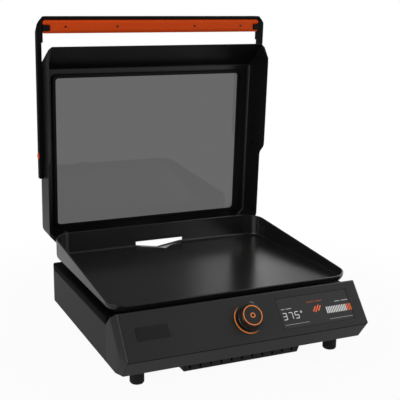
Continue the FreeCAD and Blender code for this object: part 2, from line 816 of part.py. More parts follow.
def add_group(label, solids):
    """Several like solids that share one node."""
    group = doc.addObject("Part::Feature", label)
    group.Label = label
    group.Shape = Part.makeCompound(solids) if len(solids) > 1 else solids[0]
    sub_parts.append(group)
    return group


def cylinder(radius, length, base, direction):
    return Part.makeCylinder(as_size(radius).value, as_size(length).value, base, direction)


def plate_posts():
    """Four posts from the reflector pan up to the plate, each with a wide foot."""
    low = (pan_floor + pan_gauge).value
    tall = plate_under.value - low
    foot_tall = 3
    posts = []
    for across in (-1, 1):
        for along in (-1, 1):
            spot = Vector(across * post_x.value, along * post_y.value, low)
            post = cylinder(post_radius, tall, spot, Vector(0, 0, 1))
            posts.append(post.fuse(cylinder(post_radius * 1.6, foot_tall, spot, Vector(0, 0, 1))))
    add_group("plate_posts", posts)


def temperature_probe():
    """A sprung probe in the middle of the plate, standing on the reflector pan."""
    body = new_body("temperature_probe")
    low = pan_floor + pan_gauge
    base_radius, base_tall = 8, 3
    stem_radius, head_radius, tip_radius = 4, 6, 3
    neck = plate_under - 14
    shoulder = plate_under - 4
    revolve(polygon(side_at(body, 0), [
        (0, low), (base_radius, low), (base_radius, low + base_tall), (stem_radius, low + base_tall),
        (stem_radius, neck), (head_radius, neck), (head_radius, shoulder), (tip_radius, plate_under),
        (0, plate_under),
    ]))


def thermal_cutout():
    """A round bimetal cut-out on its two-hole strap under the plate."""
    body = new_body("thermal_cutout")
    strap_half, strap_wide, strap_corner = 20, 6, 5
    strap_gauge = as_size(1)
    can_radius, can_tall = 8.5, 10
    blade_half, blade_thick, blade_tall = 3, 0.4, 11
    strap = plate_under - strap_gauge
    can = strap - can_tall
    outline = rounded_box(
        flat_at(body, strap), -strap_half, -strap_wide, strap_half, strap_wide, strap_corner
    )
    pad(outline, strap_gauge)
    pad(circle(flat_at(body, can), (0, 0), can_radius), can_tall)
    for across in (-4, 4):
        blade = box_outline(across - blade_thick, -blade_half, across + blade_thick, blade_half)
        pad(polygon(flat_at(body, can - blade_tall), blade), blade_tall)
    place_body(body, (77, -40, 0))


def foot(label, across, along):
    """A turned rubber foot with a waist under the housing."""
    body = new_body(label)
    waist = foot_radius - 2
    tread, neck, collar = 3, base_under - 9, base_under - 6
    revolve(polygon(side_at(body, 0), [
        (0, 0), (waist, 0), (foot_radius, tread), (foot_radius, neck), (waist, collar), (waist, base_under),
        (0, base_under),
    ]))
    place_body(body, (across, along, 0))


def vent_grille():
    """The slotted air intake that hangs under the console."""
    body = new_body("front_vent_grille")
    half = vent_width / 2
    low = half - vent_slant
    outline = polygon(
        upright_at(body, vent_front),
        [(-half, base_under), (-low, vent_under), (low, vent_under), (half, base_under)],
    )
    pad(outline, vent_depth, back=True)
    wall = as_size(2)
    inner = half - wall * 1.5
    hollow = polygon(
        upright_at(body, vent_front + wall),
        [
            (-inner, base_under + 1), (vent_slant - inner, vent_under + wall),
            (inner - vent_slant, vent_under + wall), (inner, base_under + 1),
        ],
    )
    pocket(hollow, vent_depth - 2 * wall)
    slot_count = 11
    first = -vent_pitch * (slot_count - 1) / 2
    foot_z = vent_under + 2.5 * wall
    head_z = base_under - 1.5 * wall
    slot = polygon(
        upright_at(body, vent_front - 1),
        box_outline(first - vent_slot / 2, foot_z, first + vent_slot / 2, head_z),
    )
    pattern(pocket(slot, wall + 2), "X_Axis", vent_pitch, slot_count)


def display_lens():
    body = new_body("display_lens")
    half = lens_width / 2
    tall = lens_height / 2
    pad(rounded_box(flat_at(body, 0), -half, -tall, half, tall, lens_corner), lens_gauge, back=True)
    place_body(body, on_face(lens_middle, lens_drop, -lens_sink), face_tilt)


def display_module():
    """The display's backlit block behind the ledge, with a stepped bezel."""
    body = new_body("display_module")
    half = lens_width / 2 - lens_ledge - 1
    tall = lens_height / 2 - lens_ledge - 1
    behind = lens_gauge + lens_sink + lens_gap
    cell_deep, bezel_deep, bezel, corner = 9, 5, 4, 2
    pad(rounded_box(flat_at(body, -behind), -half, -tall, half, tall, corner), cell_deep, back=True)
    wide = half + bezel
    high = tall + bezel
    pad(rounded_box(flat_at(body, -shell_wall), -wide, -high, wide, high, corner), bezel_deep, back=True)
    place_body(body, on_face(lens_middle, lens_drop), face_tilt)


def encoder_body():
    """The encoder's square can, with the bushing that passes through the panel."""
    body = new_body("encoder_body")
    half = 10
    deep = as_size(16)
    proud = 1.5
    can = polygon(flat_at(body, -shell_wall), box_outline(-half, -half, half, half))
    pad(can, deep - shell_wall, back=True)
    pad(circle(flat_at(body, -shell_wall), (0, 0), bushing_radius), shell_wall + proud)
    bore = shaft_radius + running_gap + plunger_wall + running_gap
    pocket(circle(flat_at(body, 2), (0, 0), bore), deep)
    place_body(body, on_face(0, knob_drop), face_tilt)


def encoder_plunger():
    """The sleeve that slides when the knob is pressed."""
    body = new_body("encoder_plunger")
    bore = shaft_radius + running_gap
    ring = circle(flat_at(body, plunger_foot), (0, 0), bore + plunger_wall)
    circle(ring, (0, 0), bore)
    pad(ring, plunger_head - plunger_foot)
    place_body(body, on_face(0, knob_drop), face_tilt)


def encoder_shaft():
    """The turning shaft, with a flat for the knob and a collar over the plunger."""
    body = new_body("encoder_shaft")
    foot_z = plunger_foot + 0.5
    pad(circle(flat_at(body, foot_z), (0, 0), shaft_radius), shaft_top - foot_z)
    flat_deep, flat_long, collar_tall = 0.8, 9, 1.2
    side = 2 * shaft_radius
    flat = box_outline(-side, shaft_radius - flat_deep, side, side)
    pocket(polygon(flat_at(body, shaft_top), flat), flat_long)
    collar_radius = shaft_radius + plunger_wall - clip_gap
    pad(circle(flat_at(body, plunger_head + 2 * running_gap), (0, 0), collar_radius), collar_tall)
    place_body(body, on_face(0, knob_drop), face_tilt)


def control_knob():
    """A tapered cup with a hub on the shaft and a groove for its lit ring."""
    body = new_body("control_knob")
    wall = 2.5
    hub = shaft_radius + 3.5
    hub_foot = knob_gap + 1
    ceiling = knob_height - 3
    inner = knob_radius - wall
    edge_cut = 1.6
    ring_outer = face_ring + face_band / 2
    ring_inner = face_ring - face_band / 2
    ring_floor = knob_height - ring_sink
    revolve(polygon(side_at(body, 0), [
        (shaft_radius, hub_foot), (hub, hub_foot), (hub, ceiling), (inner, ceiling),
        (inner, knob_gap + 1.6 * wall), (knob_skirt - wall, knob_gap), (knob_skirt, knob_gap),
        (knob_skirt, knob_gap + wall),
        (knob_radius, knob_gap + 2 * wall), (knob_radius, knob_height - edge_cut),
        (knob_radius - edge_cut, knob_height), (ring_outer, knob_height), (ring_outer, ring_floor),
        (ring_inner, ring_floor), (ring_inner, knob_height), (0, knob_height), (0, shaft_top),
        (shaft_radius, shaft_top),
    ]))
    place_body(body, on_face(0, knob_drop), face_tilt)


def flat_ring(label, middle, band, height, thick):
    """A thin ring round the knob's axis, parallel to the control face."""
    body = new_body(label)
    sketch = circle(flat_at(body, height), (0, 0), middle + band / 2)
    circle(sketch, (0, 0), middle - band / 2)
    pad(sketch, thick)
    place_body(body, on_face(0, knob_drop), face_tilt)


def control_board():
    """The main board on its pillars in the console, with connectors and a heat sink."""
    body = new_body("control_board")
    floor = base_under + shell_wall
    left, right = -200, -60
    front, back = -262, -204
    inset, pillar_radius = 8, 3
    pad(polygon(flat_at(body, floor + board_rise), box_outline(left, front, right, back)), board_gauge)
    for across in (left + inset, right - inset):
        for along in (front + inset, back - inset):
            pad(circle(flat_at(body, floor), (across, along), pillar_radius), board_rise)
    top = floor + board_rise + board_gauge
    transformer = (box_outline(-196, -232, -176, -208), 22)
    terminals = (box_outline(-170, -224, -140, -208), 10)
    capacitor = (box_outline(-150, -258, -128, -236), 18)
    heat_sink = (box_outline(-120, -258, -112, -214), 14)
    ribbon_plug = (box_outline(-104, -258, -84, -250), 9)
    fuse = (box_outline(-82, -236, -68, -210), 12)
    for outline, tall in (transformer, terminals, capacitor, heat_sink, ribbon_plug, fuse):
        pad(polygon(flat_at(body, top), outline), tall)


def power_relay():
    body = new_body("power_relay")
    deck = base_under + shell_wall + board_rise + board_gauge
    tall, edge_cut = 21, 1
    block = pad(polygon(flat_at(body, deck), box_outline(-108, -246, -86, -216)), tall)
    chamfer(block, edge_cut, level_edge(deck + tall))


def lean_hood(part):
    """Turns a piece of the upright hood forward about the hinge axis."""
    turned_y = hinge_y * cosine(hood_lean) - hinge_z * sine(hood_lean)
    turned_z = hinge_y * sine(hood_lean) + hinge_z * cosine(hood_lean)
    place_body(part, (0, hinge_y - turned_y, hinge_z - turned_z), hood_lean)


def hood_block(body, ahead, crown):
    """The hood's outside: flat panel, sloping front wall, and corners cut off at both ends."""
    pad(polygon(side_at(body, 0), [
        (ahead, hood_foot), (hood_back, hood_foot), (hood_back, panel_head), (ahead, crown),
    ]), hood_width, both=True)
    over = crown + 1
    beside = hood_half + 1
    below = hood_foot - 1
    shoulder = hood_head - head_cut_z
    tilt = head_cut_x / head_cut_z
    bend = hood_head - crown_cut
    bend_x = hood_half - (bend - shoulder) * tilt
    upper = polygon(upright_at(body, ahead - 1), [
        (hood_half, shoulder), (bend_x, bend), (bend_x - (over - bend), over), (beside, over),
        (beside, shoulder),
    ])
    high_cut = pocket(upper, hood_back - ahead + 2)
    heel = hood_foot + foot_cut_z
    toe = hood_half - foot_cut_x
    lower = polygon(upright_at(body, ahead - 1), [
        (toe, hood_foot), (toe, below), (beside, below), (beside, heel), (hood_half, heel),
    ])
    low_cut = pocket(lower, hood_back - ahead + 2)
    return mirror([high_cut, low_cut])


def hood_shell():
    """A drawn tray: panel with a window, sloping front wall, cut corners and stepped side rims."""
    body = new_body("hood_shell")
    ahead = rim_deep - hood_fold
    slope = (hood_head - panel_head) / (hood_back - rim_head)
    crown = panel_head + (hood_back - ahead) * slope
    block = hood_block(body, ahead, crown)
    rear = hood_back.value
    folded = fillet(
        block, hood_fold,
        lambda edge: edge.BoundBox.YMin > rear - 1e-3,
    )
    front = ahead.value + 1e-3
    mouth = [f"Face{row + 1}" for row, face in enumerate(folded.Shape.Faces) if face.BoundBox.YMax < front]
    shell = body.newObject("PartDesign::Thickness", "Thickness")
    shell.Base = (folded, mouth)
    shell.Reversed = True
    bind(shell, "Value", hood_sheet)
    doc.recompute()
    below = hood_foot - 1
    above = crown + 1
    before = ahead - 1
    rim = polygon(side_at(body, 0), [
        (before, below), (rim_shallow, below), (rim_shallow, step_low), (rim_deep, step_high),
        (rim_deep, hood_head - head_cut_z), (rim_head, hood_head), (rim_head, above), (before, above),
    ])
    pocket(rim, hood_width + 2, both=True)
    half = window_width / 2 + panel_cut
    tall = window_height / 2 + panel_cut
    window = rounded_box(
        upright_at(body, hood_back + 1), -half, window_middle - tall, half, window_middle + tall,
        window_corner + panel_cut,
    )
    pocket(window, hood_sheet + 2, along=True)
    near = bracket_x + bracket_gauge / 2 + hinge_gap - notch_width / 2
    notch = box_outline(near, hood_foot - 1, near + notch_width, hood_foot + 2 * hood_sheet)
    mirror([pocket(polygon(upright_at(body, rim_shallow - 1), notch), notch_depth)])
    far = drain_width / 2 + spout_room
    middle = box_outline(-far, hood_foot - 1, far, hood_foot + 2 * hood_sheet)
    pocket(polygon(upright_at(body, rim_shallow - 1), middle), spout_notch)
    return body


def window_ring(sketch, lap, corner):
    """A rounded frame outline at a distance outside the clear window."""
    half = window_width / 2 + lap
    tall = window_height / 2 + lap
    return rounded_box(
        sketch, -half, window_middle - tall, half, window_middle + tall, window_corner + corner
    )


inner_panel = hood_back - hood_sheet
pane_back = inner_panel - seal_gauge
pane_front = pane_back - pane_gauge


def hood_glass():
    body = new_body("hood_glass")
    pad(window_ring(upright_at(body, pane_front), pane_lap, pane_lap), pane_gauge, back=True)
    return body


def glass_seal():
    """The flat gasket between the pane and the panel."""
    body = new_body("glass_seal")
    ring = window_ring(upright_at(body, pane_back), pane_lap, pane_lap)
    window_ring(ring, panel_cut, panel_cut)
    pad(ring, seal_gauge, back=True)
    return body


def window_frame():
    """The inner frame that holds the pane: a flat band and a rim turned back to the panel."""
    body = new_body("window_frame")
    band = window_ring(upright_at(body, pane_front - frame_gauge), frame_lap, frame_lap / 2)
    window_ring(band, 0, 0)
    pad(band, frame_gauge, back=True)
    turn = window_ring(upright_at(body, pane_front), frame_lap, frame_lap / 2)
    window_ring(turn, frame_lap - frame_gauge, frame_lap / 2 - frame_gauge)
    pad(turn, pane_gauge + seal_gauge, back=True)
    face = (pane_front - frame_gauge).value
    outer_half = ((window_width + frame_lap) / 2).value
    outer_tall = ((window_height + frame_lap) / 2).value

    def outer_front(edge):
        if abs(edge.BoundBox.YMin - face) > 1e-3 or abs(edge.BoundBox.YMax - face) > 1e-3:
            return False
        middle = edge.valueAt((edge.FirstParameter + edge.LastParameter) / 2)
        return abs(middle.x) > outer_half or abs(middle.z - window_middle.value) > outer_tall

    fillet(body.Tip, frame_gauge * 0.8, outer_front)
    return body


def side_plate(label, side, inner, outline, hole):
    """A flat plate seen from the side, on the left (-1) or right (1), with a round hole for the pin."""
    body = new_body(label)
    start = side * inner
    pad(polygon(side_at(body, start), outline), bracket_gauge, back=side < 0)
    eye = circle(side_at(body, start), (hinge_y, hinge_z), hole)
    pocket(eye, bracket_gauge, along=side > 0)
    return body


def hinge_bracket(label, side):
    """A steel arm from the tub's rear wall up to the pin, with a bolting flange."""
    foot_z = base_under + 20
    head_z = side_top - 6
    ahead = hinge_y - ear_radius
    behind = hinge_y + ear_radius
    clear = plate_back + 5
    outline = [
        (base_back, foot_z), (base_back + 8, foot_z), (behind, hinge_z - 24), (behind, hinge_z + ear_flat),
        (hinge_y + ear_flat, hinge_z + ear_radius), (hinge_y - ear_flat, hinge_z + ear_radius),
        (ahead, hinge_z + ear_flat), (ahead, hinge_z - 18), (clear, hinge_z - 40), (clear, side_top + 8),
        (base_back, head_z),
    ]
    body = side_plate(label, side, bracket_x, outline, pin_radius)
    flange_wide = 24
    low = bracket_x - flange_wide if side > 0 else -bracket_x
    flange = polygon(upright_at(body, base_back), box_outline(low, foot_z, low + flange_wide, head_z))
    pad(flange, bracket_gauge, back=True)


def hinge_pin(label, side):
    """A shouldered pin through bracket and lug, headed at both ends."""
    head_radius, head_tall, rivet_tall = 5, 2, 1.6
    start = bracket_x - head_tall
    length = 2 * bracket_gauge + hinge_gap + 2 * head_tall
    direction = Vector(side, 0, 0)
    base = Vector(side * start.value, hinge_y.value, hinge_z.value)
    shank = cylinder(pin_radius, length, base, direction)
    inner_head = cylinder(head_radius, head_tall, base, direction)
    outer = base + direction * (length.value - rivet_tall)
    pin = shank.fuse(inner_head).fuse(cylinder(head_radius, rivet_tall, outer, direction))
    add_group(label, [pin.removeSplitter()])


def hood_lug(label, side):
    """The hood's half of the hinge, seated on the inside of its rear wall."""
    seat = hood_foot + hood_sheet
    ledge = rim_shallow + notch_depth + 1
    heel = ledge + lug_seat
    ahead = hinge_y - ear_radius
    over = hinge_z + ear_radius
    under = hinge_z - ear_radius
    outline = [
        (ahead, hinge_z - ear_flat), (hinge_y - ear_flat, under), (hinge_y + ear_flat - 1, under),
        (ledge, seat), (heel, seat), (heel, seat + lug_seat / 2), (hinge_y + ear_radius, hinge_z + ear_flat),
        (hinge_y + ear_flat, over), (hinge_y - ear_flat, over), (ahead, hinge_z + ear_flat),
    ]
    inner = bracket_x + bracket_gauge + hinge_gap
    body = side_plate(label, side, inner, outline, pin_radius + running_gap)
    foot_wide = 20
    low = inner - foot_wide if side > 0 else -inner
    tab = polygon(flat_at(body, seat), box_outline(low, ledge, low + foot_wide, ledge + lug_seat))
    pad(tab, bracket_gauge)
    return body


def bracket_bolts():
    """Chamfered bolts that hold the hinge brackets to the tub."""
    head_radius, head_tall, edge_cut = 5, 3.2, 1.4
    from_edge = 12
    face = (base_back + bracket_gauge).value
    bolts = []
    for side in (-1, 1):
        for height in (72, 106):
            spot = Vector(side * (bracket_x - from_edge).value, face, height)
            head = cylinder(head_radius, head_tall, spot, Vector(0, 1, 0))
            rim = [edge for edge in head.Edges if edge.BoundBox.YMin > face + head_tall / 2]
            bolts.append(head.makeChamfer(edge_cut, rim))
    add_group("bracket_bolts", bolts)


cap_y = (arm_front + arm_back) / 2
shoe_half = cap_radius + 1
screw_rise = driving("screw_rise", 44, "screw above an arm's bolt")
cap_sink = driving("cap_sink", 2, "depth of an arm cap's seat")
grip_rear = arm_back - bar_gauge
grip_top = handle_top - bar_gauge - 1
handle_inner = arm_inner - arm_swell


def handle_arm(label, side):
    """A moulded arm on the outside of the hood, with its upper outer corner cut off."""
    body = new_body(label)
    start = side * arm_inner
    arm = polygon(side_at(body, start), [
        (arm_front + arm_toe, arm_foot), (arm_back, arm_foot), (arm_back, handle_top),
        (arm_front, handle_top), (arm_front, arm_foot + 2 * arm_toe),
    ])
    pad(arm, arm_gauge, back=side < 0)
    outer = side * (arm_inner + arm_gauge)
    corner = [
        polygon(
            upright_at(body, depth),
            [(outer, handle_top - fall), (start, handle_top), (outer + side, handle_top + 1)],
        )
        for depth, fall in ((arm_front, handle_cut), (arm_back, handle_cut + handle_fall))
    ]
    cut = loft("Subtractive", corner)
    face = outer.value
    fillet(
        cut, arm_gauge / 8,
        lambda edge: abs(edge.BoundBox.XMin - face) < 1e-3 and edge.BoundBox.XLength < 1e-3,
    )
    seat = circle(side_at(body, outer), (cap_y, cap_height), cap_radius + clip_gap)
    pocket(seat, cap_sink, along=side < 0)
    shoe = rounded_box(
        side_at(body, start), cap_y - shoe_half, cap_height - 2 * shoe_half, cap_y + shoe_half,
        cap_height + screw_rise + shoe_half, shoe_half / 2,
    )
    pad(shoe, arm_inner - hood_half, back=side > 0)
    swell = polygon(
        side_at(body, start), box_outline(arm_front, hood_head + 2 * arm_swell, arm_back, handle_top)
    )
    pad(swell, arm_swell, back=side > 0)
    return body


def handle_crossbar():
    """The black angle between the arms: an upper plate and a rear plate."""
    body = new_body("handle_crossbar")
    nose = arm_front + 1
    under = handle_top - bar_gauge
    foot_z = grip_foot + bar_gauge / 2
    profile = polygon(side_at(body, 0), [
        (nose, handle_top), (nose, under), (grip_rear, under), (grip_rear, foot_z), (arm_back, foot_z),
        (arm_back, handle_top),
    ])
    bar = pad(profile, 2 * handle_inner, both=True)
    ridge = handle_top.value
    fillet(
        bar, bar_gauge / 4,
        lambda edge: edge.BoundBox.ZMin > ridge - 1e-3 and edge.BoundBox.XLength > ridge / 2,
    )
    return body


def handle_grip():
    """The coloured grip: a bar with a round front, notched at its ends for the clips."""
    body = new_body("handle_grip")
    bar = pad(
        polygon(side_at(body, 0), box_outline(grip_front, grip_foot, grip_rear, grip_top)),
        2 * grip_end, both=True,
    )
    front = grip_front.value + 1e-3
    reach = grip_end.value
    fillet(bar, grip_round, lambda edge: edge.BoundBox.YMax < front and edge.BoundBox.XLength > reach)
    notch = box_outline(grip_front - 1, clip_top - clip_tall, grip_rear, clip_top)
    mirror([pocket(polygon(side_at(body, grip_end), notch), clip_length)])
    return body


def grip_screws():
    """Four small slotted screws along the grip's face."""
    height = ((grip_foot + grip_top) / 2).value
    front = grip_front.value
    head_radius, head_tall = 2.4, 0.9
    slot = 0.7
    screws = []
    for across in (-238, -105, 105, 238):
        spot = Vector(across, front, height)
        head = cylinder(head_radius, head_tall, spot, Vector(0, -1, 0))
        shank = cylinder(head_radius / 2, grip_round, spot, Vector(0, 1, 0))
        corner = Vector(across - slot / 2, front - head_tall - slot / 2, height - head_radius)
        cut = Part.makeBox(slot, slot, 2 * head_radius, corner)
        screws.append(head.fuse(shank).cut(cut).removeSplitter())
    return add_group("grip_screws", screws)


def grip_clips():
    """The black blocks that lock the grip's ends to the arms, a little proud of its front."""
    proud = 1.2
    gap = clip_gap.value
    inner = (grip_end - clip_length).value + gap
    long = handle_inner.value - inner
    front = grip_front.value - proud
    deep = grip_rear.value - front
    low = (clip_top - clip_tall).value + gap
    clips = []
    for side in (-1, 1):
        left = inner if side > 0 else -handle_inner.value
        block = Part.makeBox(long, deep, clip_tall.value - 2 * gap, Vector(left, front, low))
        faced = [edge for edge in block.Edges if edge.BoundBox.YMax < front + 1e-3]
        clips.append(block.makeChamfer(proud, [edge for edge in faced if edge.BoundBox.XLength > proud]))
    return add_group("grip_clips", clips)


def arm_cap(label, side):
    """The coloured cap over an arm's bolt."""
    outer = (arm_inner + arm_gauge).value * side
    sink = cap_sink.value
    proud = 1.5
    spot = Vector(outer - sink * side, cap_y.value, cap_height.value)
    disc = cylinder(cap_radius, sink + proud, spot, Vector(side, 0, 0))
    limit = abs(outer) + proud / 2
    rim = [edge for edge in disc.Edges if min(abs(edge.BoundBox.XMin), abs(edge.BoundBox.XMax)) > limit]
    return add_group(label, [disc.makeChamfer(proud / 2, rim)])


def arm_bolts():
    """On each side a bolt under the cap, with its nut inside the hood, and a screw from inside."""
    inside = (hood_half - hood_sheet).value
    bolt_radius, nut_radius, nut_tall = 3, 5.5, 5
    screw_radius, head_radius, head_tall = 2, 4.5, 2.5
    reach = (arm_inner + arm_gauge - cap_sink).value - inside
    bolts = []
    for side in (-1, 1):
        direction = Vector(side, 0, 0)
        base = Vector(side * (inside - nut_tall), cap_y.value, cap_height.value)
        shank = cylinder(bolt_radius, reach + nut_tall, base, direction)
        bolts.append(shank.fuse(cylinder(nut_radius, nut_tall, base, direction)).removeSplitter())
        inner = Vector(side * (inside - head_tall), cap_y.value, (cap_height + screw_rise).value)
        screw = cylinder(screw_radius, reach * 0.8 + head_tall, inner, direction)
        bolts.append(screw.fuse(cylinder(head_radius, head_tall, inner, direction)).removeSplitter())
    return add_group("arm_bolts", bolts)


def grease_cup():
    """The drip cup: a drawn tray with side lips and a finger lip at the rear."""
    body = new_body("grease_cup")
    half = cup_width / 2
    back = cup_front + cup_depth
    corner = as_size(10)
    pull_half, pull_reach, pull_corner = 30, 12, 8
    pad(rounded_box(flat_at(body, cup_under), -half, cup_front, half, back, corner), cup_top - cup_under)
    lip = half + cup_lip
    under_lip = cup_top - rail_gauge
    pad(polygon(flat_at(body, under_lip), box_outline(-lip, cup_front + 6, lip, back - 4)), rail_gauge)
    pull = rounded_box(
        flat_at(body, under_lip), -pull_half, back - pull_reach, pull_half, back + pull_reach, pull_corner
    )
    pad(pull, rail_gauge)
    inner = half - cup_wall
    hollow = rounded_box(
        flat_at(body, cup_under + cup_wall), -inner, cup_front + cup_wall, inner, back - cup_wall,
        corner - cup_wall,
    )
    pocket(hollow, cup_top - cup_under, along=True)


def cup_rails():
    """Two folded rails on the tub's rear wall that carry the cup by its lips."""
    half = cup_width / 2
    wall = half + cup_lip + 1
    outer = wall + rail_gauge
    toe = half + 1.5
    shelf = cup_top - rail_gauge - 2 * clip_gap
    under = shelf - rail_gauge
    over = shelf + 6
    near = base_back.value
    long = (cup_front + cup_depth).value - near
    tab_wide, tab_tall, tab_drop = 16, 20, 14
    rails = []
    for side in (-1, 1):
        profile = [
            (wall, under), (toe, under), (toe, shelf), (wall, shelf), (wall, over), (outer, over),
            (outer, under),
        ]
        corners = [Vector(side * across.value, near, height.value) for across, height in profile]
        rail = Part.Face(Part.makePolygon(corners + corners[:1])).extrude(Vector(0, long, 0))
        left = outer.value if side > 0 else -outer.value - tab_wide
        tab = Part.makeBox(tab_wide, rail_gauge.value, tab_tall, Vector(left, near, shelf.value - tab_drop))
        rails.append(rail.fuse(tab).removeSplitter())
    add_group("grease_cup_rails", rails)


def power_inlet():
    """A three-pin appliance inlet in the tub's rear wall."""
    body = new_body("power_inlet")
    flange, proud, box_deep = 4, 2.5, 22
    wall_x, wall_z, corner, socket_deep = 2, 2.5, 3, 18
    pin_half, pin_tall, pin_long = 1, 2, 14
    half = inlet_width / 2 - clip_gap
    tall = inlet_height / 2 - clip_gap

    def inlet_box(margin_x, margin_z):
        return (
            inlet_x - half - margin_x, inlet_z - tall - margin_z, inlet_x + half + margin_x,
            inlet_z + tall + margin_z,
        )

    pad(rounded_box(upright_at(body, base_back), *inlet_box(flange, flange), flange), proud, back=True)
    pad(polygon(upright_at(body, base_back), box_outline(*inlet_box(0, 0))), box_deep)
    recess = rounded_box(upright_at(body, base_back + proud), *inlet_box(-wall_x, -wall_z), corner)
    pocket(recess, socket_deep, along=True)
    for across, rise in ((-7, -2), (0, 2), (7, -2)):
        middle = inlet_x + across
        height = inlet_z + rise
        pin = box_outline(middle - pin_half, height - pin_tall, middle + pin_half, height + pin_tall)
        pad(polygon(upright_at(body, base_back + proud - socket_deep), pin), pin_long, back=True)


griddle_plate()
console_housing()
base_tub()
support_collar()
reflector_pan()
heating_element()
element_clamps()
plate_posts()
temperature_probe()
thermal_cutout()
for along_name, along in (("front", foot_front), ("rear", foot_rear)):
    for side_name, side in (("left", -1), ("right", 1)):
        foot(f"foot_{along_name}_{side_name}", side * foot_x, along)
vent_grille()
display_lens()
display_module()
encoder_body()
encoder_plunger()
encoder_shaft()
control_knob()
flat_ring("knob_face_ring", face_ring, face_band - 2 * running_gap, knob_height - ring_sink, ring_sink * 1.1)
flat_ring("knob_light_ring", ring_radius, ring_band, 0, ring_sink * 0.8)
control_board()
power_relay()
for make_part in (
    hood_shell, hood_glass, glass_seal, window_frame, handle_crossbar, handle_grip, grip_screws, grip_clips,
    arm_bolts,
):
    lean_hood(make_part())
for side_name, side in (("left", -1), ("right", 1)):
    hinge_bracket(f"hinge_bracket_{side_name}", side)
    hinge_pin(f"hinge_pin_{side_name}", side)
    lean_hood(hood_lug(f"hood_lug_{side_name}", side))
    lean_hood(handle_arm(f"handle_arm_{side_name}", side))
    lean_hood(arm_cap(f"arm_cap_{side_name}", side))
bracket_bolts()
grease_cup()
cup_rails()
power_inlet()
doc.recompute()

faults = [item.Label for item in doc.Objects if "Invalid" in item.State or "Error" in item.State]
for part in sub_parts:
    if part.Shape.isNull() or not part.Shape.isValid():
        faults.append(part.Label)
if faults:
    raise RuntimeError(f"these did not build: {faults}")
os.makedirs("parts", exist_ok=True)
for part in sub_parts:
    part.Shape.exportStep(f"parts/{part.Label}.step")
    box = part.Shape.BoundBox
    print(
        f"{part.Label:24s} solids {len(part.Shape.Solids)} volume {part.Shape.Volume / 1000:9.1f} cm3  "
        f"x {box.XMin:7.1f} {box.XMax:7.1f}  y {box.YMin:7.1f} {box.YMax:7.1f}  "
        f"z {box.ZMin:6.1f} {box.ZMax:6.1f}"
    )
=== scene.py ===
"""Looks for a tabletop electric griddle with its hood open: finishes, soft edges and printed details."""

import json
import math

import bmesh
import bpy
from bpy.props import FloatProperty, FloatVectorProperty, IntProperty, PointerProperty, StringProperty
from mathutils import Euler, Matrix, Vector


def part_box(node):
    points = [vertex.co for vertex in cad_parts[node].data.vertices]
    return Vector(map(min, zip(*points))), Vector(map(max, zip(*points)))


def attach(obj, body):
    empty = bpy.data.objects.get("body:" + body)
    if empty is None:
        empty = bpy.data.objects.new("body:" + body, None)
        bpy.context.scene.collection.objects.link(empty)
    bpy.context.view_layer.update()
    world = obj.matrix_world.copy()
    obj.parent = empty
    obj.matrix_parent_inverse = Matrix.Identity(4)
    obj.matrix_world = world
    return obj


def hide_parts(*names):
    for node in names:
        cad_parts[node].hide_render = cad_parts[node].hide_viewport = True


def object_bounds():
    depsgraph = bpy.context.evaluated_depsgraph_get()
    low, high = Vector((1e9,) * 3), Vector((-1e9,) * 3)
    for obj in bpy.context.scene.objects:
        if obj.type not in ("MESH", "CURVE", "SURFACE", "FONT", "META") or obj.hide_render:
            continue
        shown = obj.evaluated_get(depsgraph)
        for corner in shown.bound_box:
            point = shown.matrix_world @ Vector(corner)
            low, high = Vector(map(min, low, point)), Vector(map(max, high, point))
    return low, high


bl_info = {
    "name": "Electric Griddle Looks",
    "version": (1, 0, 0),
    "blender": (4, 5, 0),
    "location": "View3D > Sidebar > Griddle",
    "description": "Finishes the packed griddle and adds its lit, printed and bare details",
    "category": "Object",
}

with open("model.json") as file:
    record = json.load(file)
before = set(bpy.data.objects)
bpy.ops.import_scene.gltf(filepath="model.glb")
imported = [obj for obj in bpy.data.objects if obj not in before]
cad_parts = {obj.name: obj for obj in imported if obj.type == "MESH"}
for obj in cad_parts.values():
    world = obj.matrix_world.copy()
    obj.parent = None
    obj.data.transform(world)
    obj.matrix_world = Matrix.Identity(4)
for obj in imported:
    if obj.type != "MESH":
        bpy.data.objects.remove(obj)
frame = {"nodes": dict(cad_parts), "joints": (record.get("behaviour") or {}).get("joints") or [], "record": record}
CAD_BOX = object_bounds()
JOINTS = {joint["name"]: joint for joint in frame["joints"]}
BODY_OF = {
    node: body for body, nodes in frame["record"]["behaviour"]["bodies"].items() for node in nodes
}
SLOT_OF = {part["node"]: part["material_slot"] for part in frame["record"]["subparts"]}

MM = 0.001
WELD_GAP = 0.002 * MM
FLAT_ANGLE = math.radians(0.6)
SHARP_ANGLE = math.radians(34)
SMOOTH_ANGLE = math.radians(40)
EDGE_STEPS = 3
ROUND_STEPS = 6
RING_STEPS = 64

# Least width of the faces beside an edge that is rounded, in rounds
ROOM_FOR_ROUND = 2.2
# How far outside and inside the plate's packed skin a point still counts as on it
SKIN_OUT = 0.02 * MM
SKIN_IN = 0.8 * MM
# Rise of the pane's gloss per length of pane, about 3 degrees
PANE_LEAN = 0.054
# Plane of the cut at the handle's upper rear corners: two points at the rear, and its end in front
HANDLE_CUT = [
    Vector((285.5, 262, 745.3)) * MM, Vector((304, 263, 724)) * MM, Vector((295, 243.5, 744.5)) * MM,
]

WHITE = (1, 1, 1, 1)
BLACK = (0, 0, 0, 1)
# Half the floor's side, and the distance over which its brightness in reflections changes, in metres
FLOOR_HALF = 12
FLOOR_REACH = 5
# Width of the camera's sensor, in millimetres
SENSOR_WIDTH = 36
# Place and size of each lamp, in metres
LAMPS = {
    "key": ((-2.6, -0.9, 0.85), (1.5, 1.5)),
    "fill": ((1.8, -2.3, 0.8), (1.0, 1.0)),
    "rim": ((2.5, 1.2, 1.2), (1.8, 1.8)),
    "strip": ((1.27, 2.35, 1.02), (0.24, 1.0)),
}


